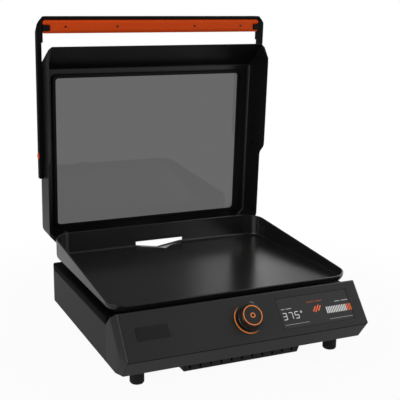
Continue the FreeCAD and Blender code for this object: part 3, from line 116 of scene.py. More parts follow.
def colour_property(label, note, value):
    return FloatVectorProperty(
        name=label, description=note, default=value, subtype="COLOR", size=3, min=0, max=1
    )


def length_property(label, note, millimetres):
    return FloatProperty(
        name=label, description=note, default=millimetres * MM, min=0, unit="LENGTH", precision=4
    )


def angle_property(label, note, degrees):
    return FloatProperty(name=label, description=note, default=math.radians(degrees), subtype="ANGLE")


def power_property(label, note, watts):
    return FloatProperty(name=label, description=note, default=watts, min=0, unit="POWER")


def level_property(label, note, level):
    return FloatProperty(name=label, description=note, default=level, min=0)


class GriddleColours(bpy.types.PropertyGroup):
    """Colours of the finishes, linear."""

    plate: colour_property("Plate", "Non-stick coating of the cooking plate", (0.0105, 0.0099, 0.0096))
    speck: colour_property("Specks", "Pale specks in the coating", (0.2, 0.15, 0.11))
    brown_speck: colour_property("Brown specks", "Brown specks in the coating", (0.1, 0.055, 0.03))
    console: colour_property("Console", "Moulded control housing", (0.0095, 0.0095, 0.0095))
    tub: colour_property("Tub", "Moulded lower housing", (0.028, 0.028, 0.028))
    collar: colour_property("Collar", "Heat-proof collar, vent and inlet", (0.004, 0.004, 0.004))
    hood: colour_property("Hood", "Enamel of the hood", (0.007, 0.007, 0.007))
    arm: colour_property("Arms", "Paint of the handle arms and crossbar", (0.003, 0.003, 0.003))
    grip: colour_property("Grip", "Coloured grip and caps", (0.72, 0.072, 0.006))
    knob: colour_property("Knob", "Control knob", (0.01, 0.01, 0.01))
    glow: colour_property("Glow", "Lit rings", (0.75, 0.2, 0.025))
    lens: colour_property("Lens", "Display lens", (0.018, 0.0184, 0.0184))
    pane: colour_property("Pane", "Tint of the hood's window", (0.004, 0.004, 0.004))
    # The same gloss black paints the shadow in the gap round the display lens.
    badge: colour_property("Badge", "Bare plate and the line round the display", (0.004, 0.004, 0.004))
    steel: colour_property("Steel", "Bare sheet steel", (0.5, 0.5, 0.49))
    dark_steel: colour_property("Dark steel", "Blackened steel", (0.03, 0.03, 0.03))
    element: colour_property("Element", "Sheath of the heating element", (0.16, 0.15, 0.14))
    cup: colour_property("Cup", "Drawn metal of the grease cup", (0.42, 0.42, 0.42))
    rubber: colour_property("Rubber", "Feet and seal", (0.01, 0.01, 0.01))
    board: colour_property("Board", "Solder mask of the control board", (0.012, 0.085, 0.04))
    digits: colour_property("Digits", "Pale figures on the display", (0.5, 0.5, 0.49))
    # The captions' grey also colours the painted highlight above the knob.
    caption: colour_property("Captions", "Dim lines on the display", (0.27, 0.27, 0.27))
    warm: colour_property("Warm marks", "Orange figures on the display", (0.6, 0.1, 0.03))
    floor: colour_property("Floor", "Studio floor", (0.55, 0.55, 0.55))


class GriddleSizes(bpy.types.PropertyGroup):
    """Sizes of the softened edges and of the details that the frame doesn't hold."""

    housing_edge: length_property("Housing edge", "Round along the housings' outer edges", 3.6)
    sheet_fold: length_property("Sheet fold", "Round along the folds of the hood", 7)
    grip_edge: length_property("Grip edge", "Round along the grip", 5)
    fine_edge: length_property("Fine edge", "Round along small edges", 0.45)
    plate_depth: length_property("Plate depth", "Packed plate without its spout, front to back", 451)
    plate_corner: length_property("Plate corner", "Packed plate's corner in plan", 46)
    plate_edge: length_property("Plate edge", "Packed round under the plate's walls", 6)
    plate_round: length_property("Plate round", "Height of the round shown under the plate's walls", 19)
    plate_sweep: length_property("Plate sweep", "Inward reach of the round under the plate's walls", 22)
    spout_near: length_property("Spout side", "Half width that keeps the packed edge at the rear", 85)
    spout_far: length_property("Spout clear", "Half width from which the round is whole at the rear", 120)
    knob_reach: length_property("Knob reach", "Radius that holds the knob and its lit ring", 28)
    mark_thick: length_property("Mark thickness", "Height of the printed marks", 0.15)
    badge_width: length_property("Badge width", "Bare plate at the left of the face", 73)
    badge_height: length_property("Badge height", "Bare plate, up the slope", 27.6)
    badge_across: length_property("Badge place", "Middle of the bare plate left of the knob", 218.5)
    badge_up: length_property("Badge rise", "Middle of the bare plate above the knob's middle", 2.7)
    badge_thick: length_property("Badge thickness", "Bare plate above the control face", 0.9)
    badge_corner: length_property("Badge corner", "Round of the bare plate's corners", 2.4)
    badge_rim: length_property("Badge rim", "Raised rim of the bare plate", 0.9)
    badge_lip: length_property("Badge lip", "Slope inside the bare plate's rim", 0.35)
    badge_sink: length_property("Badge sink", "Depth of the bare plate inside its rim", 0.3)
    # Painted shadow: width of the dark line that stands in for the shade in the gap round the display lens
    lens_line: length_property("Lens line", "Dark line round the display lens", 1.3)
    digit_height: length_property("Digit height", "Figures of the reading", 16)
    digit_width: length_property("Digit width", "Figures of the reading", 10)
    digit_pitch: length_property("Digit pitch", "Spacing of the figures", 14.8)
    digit_stroke: length_property("Digit stroke", "Width of a segment", 1.5)
    level_width: length_property("Level width", "Row of level bars", 66)
    level_height: length_property("Level height", "Row of level bars", 15)
    level_count: IntProperty(name="Level bars", description="Number of level bars", default=15, min=2)
    reading: StringProperty(name="Reading", description="Plain number on the display", default="375")


class GriddleStage(bpy.types.PropertyGroup):
    """Camera and lights."""

    camera_place: FloatVectorProperty(
        name="Camera", description="Place of the camera", default=(-0.792, -1.6822, 0.75),
        subtype="TRANSLATION",
    )
    camera_yaw: angle_property("Yaw", "Turn of the camera to the right", 22.25)
    camera_pitch: angle_property("Pitch", "Tilt of the camera below level", 13.48)
    lens: FloatProperty(name="Lens", description="Focal length", default=72.47, unit="CAMERA")
    shift_right: FloatProperty(name="Shift", description="Sideways shift of the frame", default=0.1125)
    shift_up: FloatProperty(name="Rise", description="Upward shift of the frame", default=0.0175)
    ambient: level_property("Ambient", "Soft light from all round", 0.62)
    ceiling: level_property("Ceiling", "Brightness overhead in reflections", 0.9)
    front: level_property("Front", "Brightness ahead of the object in reflections", 0.5)
    mirror: level_property("Mirror", "Brightness of the floor and of the sides in reflections", 0.6)
    key_power: power_property("Key light", "Power of the left softbox", 22)
    fill_power: power_property("Fill light", "Power of the front softbox", 8)
    rim_power: power_property("Rim light", "Power of the right softbox", 14)
    strip_power: power_property("Strip light", "Power of the strip light behind", 2)
    clear_floor: FloatProperty(
        name="Clear floor", description="Share of the near floor that shows as plain backdrop",
        default=0.95, min=0, max=1,
    )


def colours():
    return bpy.context.scene.griddle_colours


def sizes():
    return bpy.context.scene.griddle_sizes


def stage():
    return bpy.context.scene.griddle_stage


class Shade:
    """One output of a material's nodes, for use in sums and as the input of further nodes."""

    def __init__(self, tree, socket=None):
        self.tree = tree
        self.socket = socket

    def node(self, kind, settings=None, sockets=None, output=0):
        """Adds a node: its settings come first, then a value or a link for each socket named."""
        made = self.tree.nodes.new(kind)
        for name, value in (settings or {}).items():
            if name == "stops":
                set_stops(made.color_ramp, value)
            else:
                setattr(made, name, value)
        for name, value in (sockets or {}).items():
            if isinstance(value, Shade):
                self.tree.links.new(value.socket, made.inputs[name])
            else:
                made.inputs[name].default_value = value
        return Shade(self.tree, made.outputs[output]) if made.outputs else None

    def maths(self, operation, first, second):
        return self.node("ShaderNodeMath", {"operation": operation}, {0: first, 1: second})

    def __add__(self, other):
        return self.maths("ADD", self, other)

    __radd__ = __add__

    def __sub__(self, other):
        return self.maths("SUBTRACT", self, other)

    def __rsub__(self, other):
        return self.maths("SUBTRACT", other, self)

    def __mul__(self, other):
        return self.maths("MULTIPLY", self, other)

    __rmul__ = __mul__

    def __lt__(self, other):
        return self.maths("LESS_THAN", self, other)

    def __gt__(self, other):
        return self.maths("GREATER_THAN", self, other)

    def noise(self, grain, detail):
        """Noise with features of about the given length in millimetres."""
        return self.node(
            "ShaderNodeTexNoise", {}, {"Vector": self, "Scale": 1 / (grain * MM), "Detail": detail}
        )

    def bump(self, height, depth):
        """A surface normal from a height pattern, with its depth in millimetres."""
        return self.node(
            "ShaderNodeBump", {}, {"Height": height, "Distance": depth * MM, "Strength": 1.0}
        )

    def blend(self, share, first, second):
        """A colour between two, by a share from 0 to 1."""
        return self.node(
            "ShaderNodeMix", {"data_type": "RGBA"}, {0: share, 6: first, 7: second}, output=2
        )

    def stretch(self, scale):
        """These coordinates, scaled along each axis."""
        return self.node("ShaderNodeMapping", {}, {"Vector": self, "Scale": scale})

    def ramp(self, *stops):
        """A value led through a ramp of (position, grey) stops."""
        return self.node("ShaderNodeValToRGB", {"stops": stops}, {"Fac": self})


def set_stops(ramp, stops):
    while len(ramp.elements) < len(stops):
        ramp.elements.new(1)
    for element, (position, grey) in zip(ramp.elements, stops):
        element.position = position
        element.color = (grey, grey, grey, 1)


def rgba(colour, scale=1.0):
    return (colour[0] * scale, colour[1] * scale, colour[2] * scale, 1.0)


def new_finish(name):
    """A material with an empty tree, and the Object coordinates that its patterns read."""
    material = bpy.data.materials.new(name)
    material.use_nodes = True
    material.node_tree.nodes.clear()
    place = Shade(material.node_tree).node("ShaderNodeTexCoord", output=3)
    return material, place


def coat(place, sockets):
    """Ends a material with a Principled surface."""
    surface = place.node("ShaderNodeBsdfPrincipled", {}, sockets)
    place.node("ShaderNodeOutputMaterial", {}, {"Surface": surface})


def moulded(name, colour, roughness, grain=0.9, ior=1.46, gloss=0.5):
    """Moulded plastic: fine spark texture, cloudy gloss and a slight drift of colour."""
    material, place = new_finish(name)
    cloud = place.noise(45, 3)
    fine = place.noise(grain, 4)
    coat(place, {
        "Base Color": place.blend(cloud, rgba(colour, 0.86), rgba(colour, 1.14)),
        "Roughness": roughness - 0.05 + 0.06 * cloud + 0.04 * fine,
        "IOR": ior,
        "Specular IOR Level": gloss,
        "Normal": place.bump(fine, 0.05),
    })
    return material


def painted(name, colour, roughness, peel=2.6, depth=0.03, ior=1.5, gloss=0.5):
    """Baked paint or enamel on sheet metal: orange peel, faint dust and uneven gloss."""
    material, place = new_finish(name)
    skin = place.noise(peel, 2)
    cloud = place.noise(70, 3)
    dust = place.noise(0.5, 1).ramp((0.7, 0), (0.78, 1))
    coat(place, {
        "Base Color": place.blend(dust * 0.25, rgba(colour), rgba(colour, 2.2)),
        "Roughness": roughness - 0.05 + 0.08 * cloud + 0.05 * skin,
        "IOR": ior,
        "Specular IOR Level": gloss,
        "Normal": place.bump(skin, depth),
    })
    return material


def brushed(name, colour, roughness, lines):
    """Sheet metal with drawn lines along one axis."""
    material, place = new_finish(name)
    drawn = place.stretch(lines).noise(1.2, 3)
    stain = place.noise(38, 3)
    coat(place, {
        "Base Color": place.blend(stain, rgba(colour, 0.8), rgba(colour, 1.1)),
        "Metallic": 1.0,
        "Roughness": roughness - 0.08 + 0.12 * drawn + 0.06 * stain,
        "Normal": place.bump(drawn, 0.02),
    })
    return material


def speckled_coating():
    """Dark ceramic non-stick with small pale and brown specks."""
    material, place = new_finish("plate_coating")
    cells = {"Vector": place, "Scale": 1 / (3.4 * MM)}
    middle = place.node("ShaderNodeTexVoronoi", {"feature": "F1"}, cells)
    pick = place.node("ShaderNodeTexVoronoi", {"feature": "F1"}, cells, output=1)
    tone = place.node("ShaderNodeSeparateColor", {}, {"Color": pick})
    speck = middle < 0.05 + 0.11 * tone
    fine = place.noise(0.7, 3)
    drift = place.noise(60, 3)
    tint = place.blend(tone, rgba(colours().speck), rgba(colours().brown_speck))
    dark = place.blend(drift, rgba(colours().plate), rgba(colours().plate, 1.35))
    coat(place, {
        "Base Color": place.blend(speck * 0.8, dark, tint),
        "Roughness": 0.17 + 0.05 * drift + 0.04 * fine,
        "IOR": 1.5,
        "Normal": place.bump(fine + 0.6 * speck, 0.025),
    })
    return material


def console_plastic():
    return moulded("console_plastic", colours().console, 0.47, ior=1.52)


def tub_plastic():
    return moulded("tub_plastic", colours().tub, 0.55, gloss=0.3)


def collar_plastic():
    return moulded("collar_plastic", colours().collar, 0.7, ior=1.3, gloss=0.15)


def vent_plastic():
    return moulded("vent_plastic", colours().collar, 0.55)


def device_plastic():
    return moulded("device_plastic", colours().tub, 0.5, grain=0.6)


def inlet_plastic():
    return moulded("inlet_plastic", colours().collar, 0.5, gloss=0.15)


def knob_plastic():
    """Satin knob with a fine grain."""
    material, place = new_finish("knob_plastic")
    fine = place.noise(0.6, 3)
    cloud = place.noise(14, 2)
    coat(place, {
        "Base Color": place.blend(cloud, rgba(colours().knob, 0.9), rgba(colours().knob, 1.2)),
        "Roughness": 0.36 + 0.05 * cloud + 0.05 * fine,
        "IOR": 1.48,
        "Normal": place.bump(fine, 0.015),
    })
    return material


def grip_plastic():
    """Coloured satin plastic with a faint flow pattern along the grip."""
    material, place = new_finish("grip_plastic")
    flow = place.stretch((0.15, 1, 1)).noise(9, 3)
    fine = place.noise(0.8, 3)
    coat(place, {
        "Base Color": place.blend(flow, rgba(colours().grip, 0.9), rgba(colours().grip, 1.08)),
        "Roughness": 0.42 + 0.06 * flow + 0.05 * fine,
        "IOR": 1.32,
        "Specular IOR Level": 0.2,
        "Normal": place.bump(fine, 0.03),
    })
    return material


def lens_plastic():
    """Smoked display lens with a matte hard coat and faint dust."""
    material, place = new_finish("lens_plastic")
    dust = place.noise(0.45, 1).ramp((0.7, 0), (0.76, 1))
    smear = place.noise(24, 4)
    coat(place, {
        "Base Color": place.blend(dust * 0.3, rgba(colours().lens), rgba(colours().lens, 2.5)),
        "Roughness": 0.2 + 0.14 * smear + 0.1 * dust,
        "IOR": 1.5,
    })
    return material


def glow_plastic():
    """Lit light guides: the ring on the panel glows only round its left and lower part."""
    material, place = new_finish("glow_plastic")
    ripple = place.noise(3, 2)
    panel = panel_frame()
    across, upward = (
        place.node(
            "ShaderNodeVectorMath", {"operation": "DOT_PRODUCT"},
            {0: place, 1: axis.to_3d()}, output=1,
        ) - axis.to_3d().dot(panel.translation)
        for axis in (panel.col[0], panel.col[1])
    )
    angle = place.maths("ARCTAN2", upward, across)
    turn = place.maths("FLOORED_MODULO", angle, math.tau) * (1 / math.tau)
    arc = turn.ramp((0.33, 0), (0.42, 0.75), (0.72, 0.75), (0.84, 0))
    on_knob = (across * across + upward * upward) < sizes().knob_reach ** 2
    lit = place.maths("MAXIMUM", arc, on_knob)
    tone = place.blend(ripple, rgba(colours().glow, 0.85), rgba(colours().glow, 1.1))
    coat(place, {
        "Base Color": place.blend(lit, rgba(colours().knob), rgba(colours().glow, 0.6)),
        "Roughness": 0.3 + 0.1 * ripple,
        "Emission Color": place.blend(lit, BLACK, tone),
        "Emission Strength": 0.8,
    })
    return material


def rubber(name, colour):
    """Matte rubber: fine grit and pale bloom."""
    material, place = new_finish(name)
    grit = place.noise(0.55, 4)
    bloom = place.noise(16, 3)
    coat(place, {
        "Base Color": place.blend(bloom, rgba(colour, 0.8), rgba(colour, 1.5)),
        "Roughness": 0.7 + 0.15 * grit,
        "IOR": 1.4,
        "Normal": place.bump(grit, 0.06),
    })
    return material


def foot_rubber():
    return rubber("foot_rubber", colours().rubber)


def seal_rubber():
    return rubber("seal_rubber", colours().rubber)


def window_glass():
    """Tinted pane: each face passes about a third of the light, with smears and a lean in its gloss."""
    material, place = new_finish("window_glass")
    smear = place.noise(40, 4)
    tilt = place.node("ShaderNodeSeparateXYZ", {}, {"Vector": place}, output=2) * PANE_LEAN
    coat(place, {
        "Base Color": place.blend(smear, rgba(colours().pane), rgba(colours().pane, 1.75)),
        "Roughness": 0.01 + 0.02 * smear,
        "IOR": 1.6,
        "Alpha": 0.662,
        "Normal": place.bump(tilt, 1 / MM),
    })
    return material


def hood_enamel():
    return painted("hood_enamel", colours().hood, 0.34, ior=1.45)


def frame_enamel():
    return painted("frame_enamel", colours().hood, 0.4, peel=1.8, ior=1.4, gloss=0.15)


def hinge_steel():
    return painted("hinge_steel", colours().dark_steel, 0.5, peel=1.2, depth=0.02)


def arm_paint():
    return painted("arm_paint", colours().arm, 0.5, peel=1.5, ior=1.36, gloss=0.2)


def sheet_steel():
    return brushed("sheet_steel", colours().steel, 0.36, (0.04, 1, 1))


def element_steel():
    return brushed("element_steel", colours().element, 0.5, (1, 0.1, 1))


def fastener_steel():
    return brushed("fastener_steel", colours().dark_steel, 0.4, (1, 1, 0.2))


def cup_metal():
    return brushed("cup_metal", colours().cup, 0.34, (1, 1, 0.05))


def board():
    """Solder mask with copper tracks just under it."""
    material, place = new_finish("board")
    track = place.node(
        "ShaderNodeTexVoronoi", {"feature": "F1", "distance": "CHEBYCHEV"},
        {"Vector": place, "Scale": 1 / (6 * MM), "Randomness": 0.4},
    )
    line = (track > 0.32) * (track < 0.42)
    mask = colours().board
    coat(place, {
        "Base Color": place.blend(line, rgba(mask), rgba(mask, 1.9)),
        "Roughness": 0.34 + 0.1 * line,
        "Normal": place.bump(line, 0.03),
    })
    return material


def lit_mark(name, colour, strength):
    """A lit figure behind the lens, slightly uneven as a lit segment is; also the glow of the painted highlight by
    the knob.
    """
    material, place = new_finish(name)
    uneven = place.noise(5, 2)
    coat(place, {
        "Base Color": rgba(colour, 0.4),
        "Roughness": 0.4 + 0.1 * uneven,
        "Emission Color": place.blend(uneven, rgba(colour, 0.85), rgba(colour, 1.1)),
        "Emission Strength": strength,
    })
    return material


def badge_face():
    """Gloss black of the bare plate and of the painted shadow line round the display, made once."""
    made = bpy.data.materials.get("badge_face")
    if made:
        return made
    material, place = new_finish("badge_face")
    smear = place.noise(18, 4)
    coat(place, {
        "Base Color": place.blend(smear, rgba(colours().badge), rgba(colours().badge, 1.5)),
        "Roughness": 0.25 + 0.12 * smear,
        "IOR": 1.45,
    })
    return material


FINISHES = {
    maker.__name__: maker for maker in (
        console_plastic, tub_plastic, collar_plastic, vent_plastic, device_plastic, inlet_plastic,
        knob_plastic, grip_plastic, lens_plastic, glow_plastic, foot_rubber, seal_rubber, window_glass,
        hood_enamel, frame_enamel, hinge_steel, arm_paint, sheet_steel, element_steel, fastener_steel,
        cup_metal, board,
    )
}
FINISHES["plate_coating"] = speckled_coating


def finish_of(slot):
    """The one material of a slot, made when it is first asked for."""
    found = bpy.data.materials.get(slot)
    return found if found and found.get("griddle_slot") else make_finish(slot)


def make_finish(slot):
    stale = bpy.data.materials.get(slot)
    if stale:
        stale.name = f"{slot}_packed"
    material = FINISHES[slot]()
    material["griddle_slot"] = slot
    return material


def dress(*nodes, slot=None):
    """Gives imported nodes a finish, that of their own slot if none is named."""
    for node in nodes:
        for place in frame["nodes"][node].material_slots:
            place.material = finish_of(slot or SLOT_OF[node])


def shade_smooth(bm):
    for face in bm.faces:
        face.smooth = True
    for edge in bm.edges:
        edge.smooth = len(edge.link_faces) == 2 and edge.calc_face_angle(0.0) < SMOOTH_ANGLE


def add_piece(name, bm, body, material):
    """Turns a bmesh into a piece that rides on a body, with its many-sided faces split."""
    bmesh.ops.triangulate(bm, faces=[face for face in bm.faces if len(face.verts) > 4])
    shade_smooth(bm)
    mesh = bpy.data.meshes.new(name)
    bm.to_mesh(mesh)
    bm.free()
    mesh.materials.append(material)
    piece = bpy.data.objects.new(name, mesh)
    bpy.context.scene.collection.objects.link(piece)
    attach(piece, body)
    return piece


def broad_enough(edge, width):
    """True where both faces beside an edge have room for its round."""
    length = edge.calc_length()
    return all(face.calc_area() > ROOM_FOR_ROUND * width * length for face in edge.link_faces)


def on_plane(edge, plane):
    """True where an edge lies in a plane, given as an axis and a height."""
    return plane is not None and all(abs(vert.co[plane[0]] - plane[1]) < WELD_GAP for vert in edge.verts)


def merged_copy(node):
    """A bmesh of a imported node, with its doubled points merged."""
    bm = bmesh.new()
    bm.from_mesh(frame["nodes"][node].data)
    bmesh.ops.remove_doubles(bm, verts=bm.verts, dist=WELD_GAP)
    return bm


def drop_flat_edges(bm):
    bmesh.ops.dissolve_limit(bm, angle_limit=FLAT_ANGLE, verts=bm.verts, edges=bm.edges)


def slice_at(bm, spot, outward, clear=False):
    """Cuts all faces along a plane, clears what lies outside it if asked, and gives the new edges."""
    made = bmesh.ops.bisect_plane(
        bm, geom=bm.verts[:] + bm.edges[:] + bm.faces[:], dist=WELD_GAP, plane_co=spot, plane_no=outward,
        clear_outer=clear,
    )
    return [part for part in made["geom_cut"] if isinstance(part, bmesh.types.BMEdge)]


def show_instead(node, bm):
    """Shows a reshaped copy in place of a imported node."""
    slot = SLOT_OF[node]
    piece = add_piece(f"{node}_soft", bm, BODY_OF[node], finish_of(slot))
    weigh = piece.modifiers.new("Weighted normals", "WEIGHTED_NORMAL")
    weigh.keep_sharp = True
    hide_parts(node)


def cut_corner(bm, side):
    """Takes off what lies beyond the handle's cut on one side, and closes the solid there."""
    first, second, third = (Vector((side * spot.x, spot.y, spot.z)) for spot in HANDLE_CUT)
    outward = (second - first).cross(third - first).normalized()
    if outward.z < 0:
        outward.negate()
    rim = slice_at(bm, first, outward, clear=True)
    for face in bmesh.ops.edgeloop_fill(bm, edges=rim)["faces"]:
        face.normal_update()
        if face.normal.dot(outward) < 0:
            face.normal_flip()


def soften(node, *widths, seam=None, cut_sides=()):
    """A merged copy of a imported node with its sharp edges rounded, the widest rounds first.

    The handle's corner is first cut off on each of the cut sides. Edges in the seam's plane get only the
    last, finest round. The copy stays inside the node's box.
    """
    bm = merged_copy(node)
    for side in cut_sides:
        cut_corner(bm, side)
    drop_flat_edges(bm)
    low, high = [[pick(vert.co[axis] for vert in bm.verts) for axis in range(3)] for pick in (min, max)]
    for width in widths:
        edges = [
            edge for edge in bm.edges
            if len(edge.link_faces) == 2
            and edge.calc_face_angle(0.0) > SHARP_ANGLE
            and broad_enough(edge, width)
            and (width == widths[-1] or not on_plane(edge, seam))
        ]
        bmesh.ops.bevel(
            bm, geom=edges, offset=width, offset_type="OFFSET", segments=EDGE_STEPS, profile=0.5,
            affect="EDGES", clamp_overlap=False, material=-1,
        )
    for vert in bm.verts:
        vert.co = [min(max(vert.co[axis], low[axis]), high[axis]) for axis in range(3)]
    show_instead(node, bm)


def plan_depth(place, half, corner):
    """Distance inside a rounded rectangle in plan, and the way out of it."""
    inset = [abs(place[axis]) - half[axis] + corner for axis in range(2)]
    sign = [math.copysign(1, place[axis]) for axis in range(2)]
    if min(inset) > 0:
        reach = math.hypot(*inset)
        return corner - reach, Vector((sign[0] * inset[0] / reach, sign[1] * inset[1] / reach, 0))
    along = 0 if inset[0] > inset[1] else 1
    out = Vector((0, 0, 0))
    out[along] = sign[along]
    return corner - inset[along], out


def quarter_round(height, tall, reach):
    """How far a quarter round stands in from the wall, at a height above its foot."""
    short = min(1.0, max(0.0, 1 - height / tall))
    return reach * (1 - math.sqrt(1 - short ** 2))


def clear_of_spout(spot):
    """1 where the plate's round is whole, falling to 0 beside the spout at the rear."""
    if spot.y <= 0:
        return 1.0
    near, far = sizes().spout_near, sizes().spout_far
    return min(1.0, max(0.0, (abs(spot.x) - near) / (far - near)))


def round_under(node):
    """A merged copy of the plate with a larger round under its outer walls, fading out at the spout."""
    size = sizes()
    bm = merged_copy(node)
    low = min(vert.co.z for vert in bm.verts if abs(vert.co.x) > size.spout_far)
    for step in range(1, ROUND_STEPS + 1):
        level = low + size.plate_round * (1 - math.cos(step / ROUND_STEPS * math.pi / 2))
        slice_at(bm, (0, 0, level), (0, 0, 1))
    half = (max(vert.co.x for vert in bm.verts), size.plate_depth / 2)
    middle = Vector((0, min(vert.co.y for vert in bm.verts) + half[1], 0))
    for vert in bm.verts:
        height = vert.co.z - low
        depth, out = plan_depth(vert.co - middle, half, size.plate_corner)
        packed = quarter_round(height, size.plate_edge, size.plate_edge)
        if -WELD_GAP < height <= size.plate_round and -SKIN_OUT < depth < packed + SKIN_IN:
            wanted = quarter_round(height, size.plate_round, size.plate_sweep)
            vert.co -= out * max(0.0, wanted - depth) * clear_of_spout(vert.co)
    drop_flat_edges(bm)
    show_instead(node, bm)


def panel_frame():
    """The control face: X to the right, Y up the slope, Z outwards, with its origin at the knob."""
    turn = JOINTS["dial_turn"]
    outward = Vector(turn["axis"]).normalized()
    across = Vector((1, 0, 0))
    upward = outward.cross(across)
    axes = Matrix((across, upward, outward)).transposed().to_4x4()
    return Matrix.Translation(Vector(turn["pos_m"])) @ axes


def top_of(node):
    """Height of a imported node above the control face."""
    flat = panel_frame().inverted()
    return max((flat @ vert.co).z for vert in frame["nodes"][node].data.vertices)


def bar(bm, place, size, turn=0.0, cut=0.0, rounds=1):
    """A thin slab on the panel; cut takes its four upright corners off."""
    middle = Vector((place[0], place[1], size[2] / 2))
    matrix = Matrix.LocRotScale(middle, Euler((0, 0, turn)), Vector(size))
    made = bmesh.ops.create_cube(bm, size=1, matrix=matrix)
    if not cut:
        return
    corners = {
        edge for vert in made["verts"] for edge in vert.link_edges
        if abs(edge.verts[0].co.z - edge.verts[1].co.z) > size[2] / 2
    }
    bmesh.ops.bevel(
        bm, geom=list(corners), offset=cut, offset_type="OFFSET", segments=rounds, profile=0.5,
        affect="EDGES", material=-1,
    )


def ring(bm, place, radius, band, start=0.0, sweep=math.tau, steps=RING_STEPS):
    """A flat ring for a mark or a painted highlight, or part of one, swept from a small upright section."""
    thick = sizes().mark_thick
    centre = Vector((place[0], place[1], 0))
    ray = Vector((math.cos(start), math.sin(start), 0))
    section = [
        bm.verts.new(centre + ray * (radius + side * band / 2) + Vector((0, 0, height)))
        for side, height in ((-1, 0), (1, 0), (1, thick), (-1, thick))
    ]
    face = bm.faces.new(section)
    whole = sweep >= math.tau
    geom = list(face.edges) + section if whole else [face] + list(face.edges) + section
    if whole:
        bm.faces.remove(face)
    bmesh.ops.spin(
        bm, geom=geom, cent=centre, axis=(0, 0, 1), angle=sweep, steps=steps, use_merge=whole,
        use_duplicate=False,
    )


def print_marks(name, draw, body, material, lift=0.0):
    """A piece drawn on the control face: marks, or painted shade or highlight."""
    bm = bmesh.new()
    draw(bm)
    bmesh.ops.remove_doubles(bm, verts=bm.verts, dist=WELD_GAP)
    bmesh.ops.recalc_face_normals(bm, faces=bm.faces)
    bmesh.ops.transform(bm, matrix=panel_frame() @ Matrix.Translation((0, 0, lift)), verts=bm.verts)
    add_piece(name, bm, body, material)


# Segments of a figure as (x, y, upright), in half widths and half heights from its middle
SEGMENTS = {
    "top": (0, 1, False), "middle": (0, 0, False), "foot": (0, -1, False),
    "upper_left": (-1, 0.5, True), "upper_right": (1, 0.5, True),
    "lower_left": (-1, -0.5, True), "lower_right": (1, -0.5, True),
}
UNLIT = {
    "0": {"middle"}, "1": {"top", "middle", "foot", "upper_left", "lower_left"},
    "2": {"upper_left", "lower_right"}, "3": {"upper_left", "lower_left"},
    "4": {"top", "foot", "lower_left"}, "5": {"upper_right", "lower_left"}, "6": {"upper_right"},
    "7": {"middle", "foot", "upper_left", "lower_left"}, "8": set(), "9": {"lower_left"},
}
SEGMENT_GAP = 0.35 * MM
# Cut at a segment's ends, in strokes
SEGMENT_POINT = 0.48


def draw_figure(bm, figure, place):
    """One seven-segment figure."""
    size = sizes()
    half_wide = (size.digit_width - size.digit_stroke) / 2
    half_tall = (size.digit_height - size.digit_stroke) / 2
    stroke = size.digit_stroke
    for name, (x, y, upright) in SEGMENTS.items():
        if name in UNLIT[figure]:
            continue
        length = (half_tall if upright else 2 * half_wide) - SEGMENT_GAP + stroke / 2
        turn = math.pi / 2 if upright else 0
        spot = (place[0] + x * half_wide, place[1] + y * half_tall)
        bar(bm, spot, (length, stroke, size.mark_thick), turn, stroke * SEGMENT_POINT)


class GRIDDLE_OT_plate(bpy.types.Operator):
    """Coats the cooking plate and the collar under it"""

    bl_idname = "griddle.plate"
    bl_label = "Plate"

    def execute(self, context):
        round_under("griddle_plate")
        soften("support_collar", sizes().fine_edge)
        return {"FINISHED"}


class GRIDDLE_OT_housing(bpy.types.Operator):
    """Finishes the console, the tub, the vent and the feet"""

    bl_idname = "griddle.housing"
    bl_label = "Housing"

    def execute(self, context):
        size = sizes()
        seam = (1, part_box("base_tub")[0][1])
        soften("console_housing", size.housing_edge, size.fine_edge / 3, seam=seam)
        soften("base_tub", size.housing_edge, size.fine_edge / 3, seam=seam)
        soften("front_vent_grille", size.fine_edge)
        for node in frame["nodes"]:
            if node.startswith("foot_"):
                soften(node, size.fine_edge * 2)
        return {"FINISHED"}


class GRIDDLE_OT_badge(bpy.types.Operator):
    """Adds the bare plate at the left of the control face"""

    bl_idname = "griddle.badge"
    bl_label = "Bare plate"

    def execute(self, context):
        print_marks("bare_plate", self.draw_plate, "base", badge_face())
        return {"FINISHED"}

    def draw_plate(self, bm):
        """A slab with round corners and a raised rim."""
        size = sizes()
        block = (size.badge_width, size.badge_height, size.badge_thick)
        bar(bm, (-size.badge_across, size.badge_up), block, cut=size.badge_corner, rounds=4)
        top = max(bm.faces, key=lambda face: face.calc_center_median().z)
        bmesh.ops.inset_individual(bm, faces=[top], thickness=size.badge_rim)
        bmesh.ops.inset_individual(bm, faces=[top], thickness=size.badge_lip, depth=-size.badge_sink)


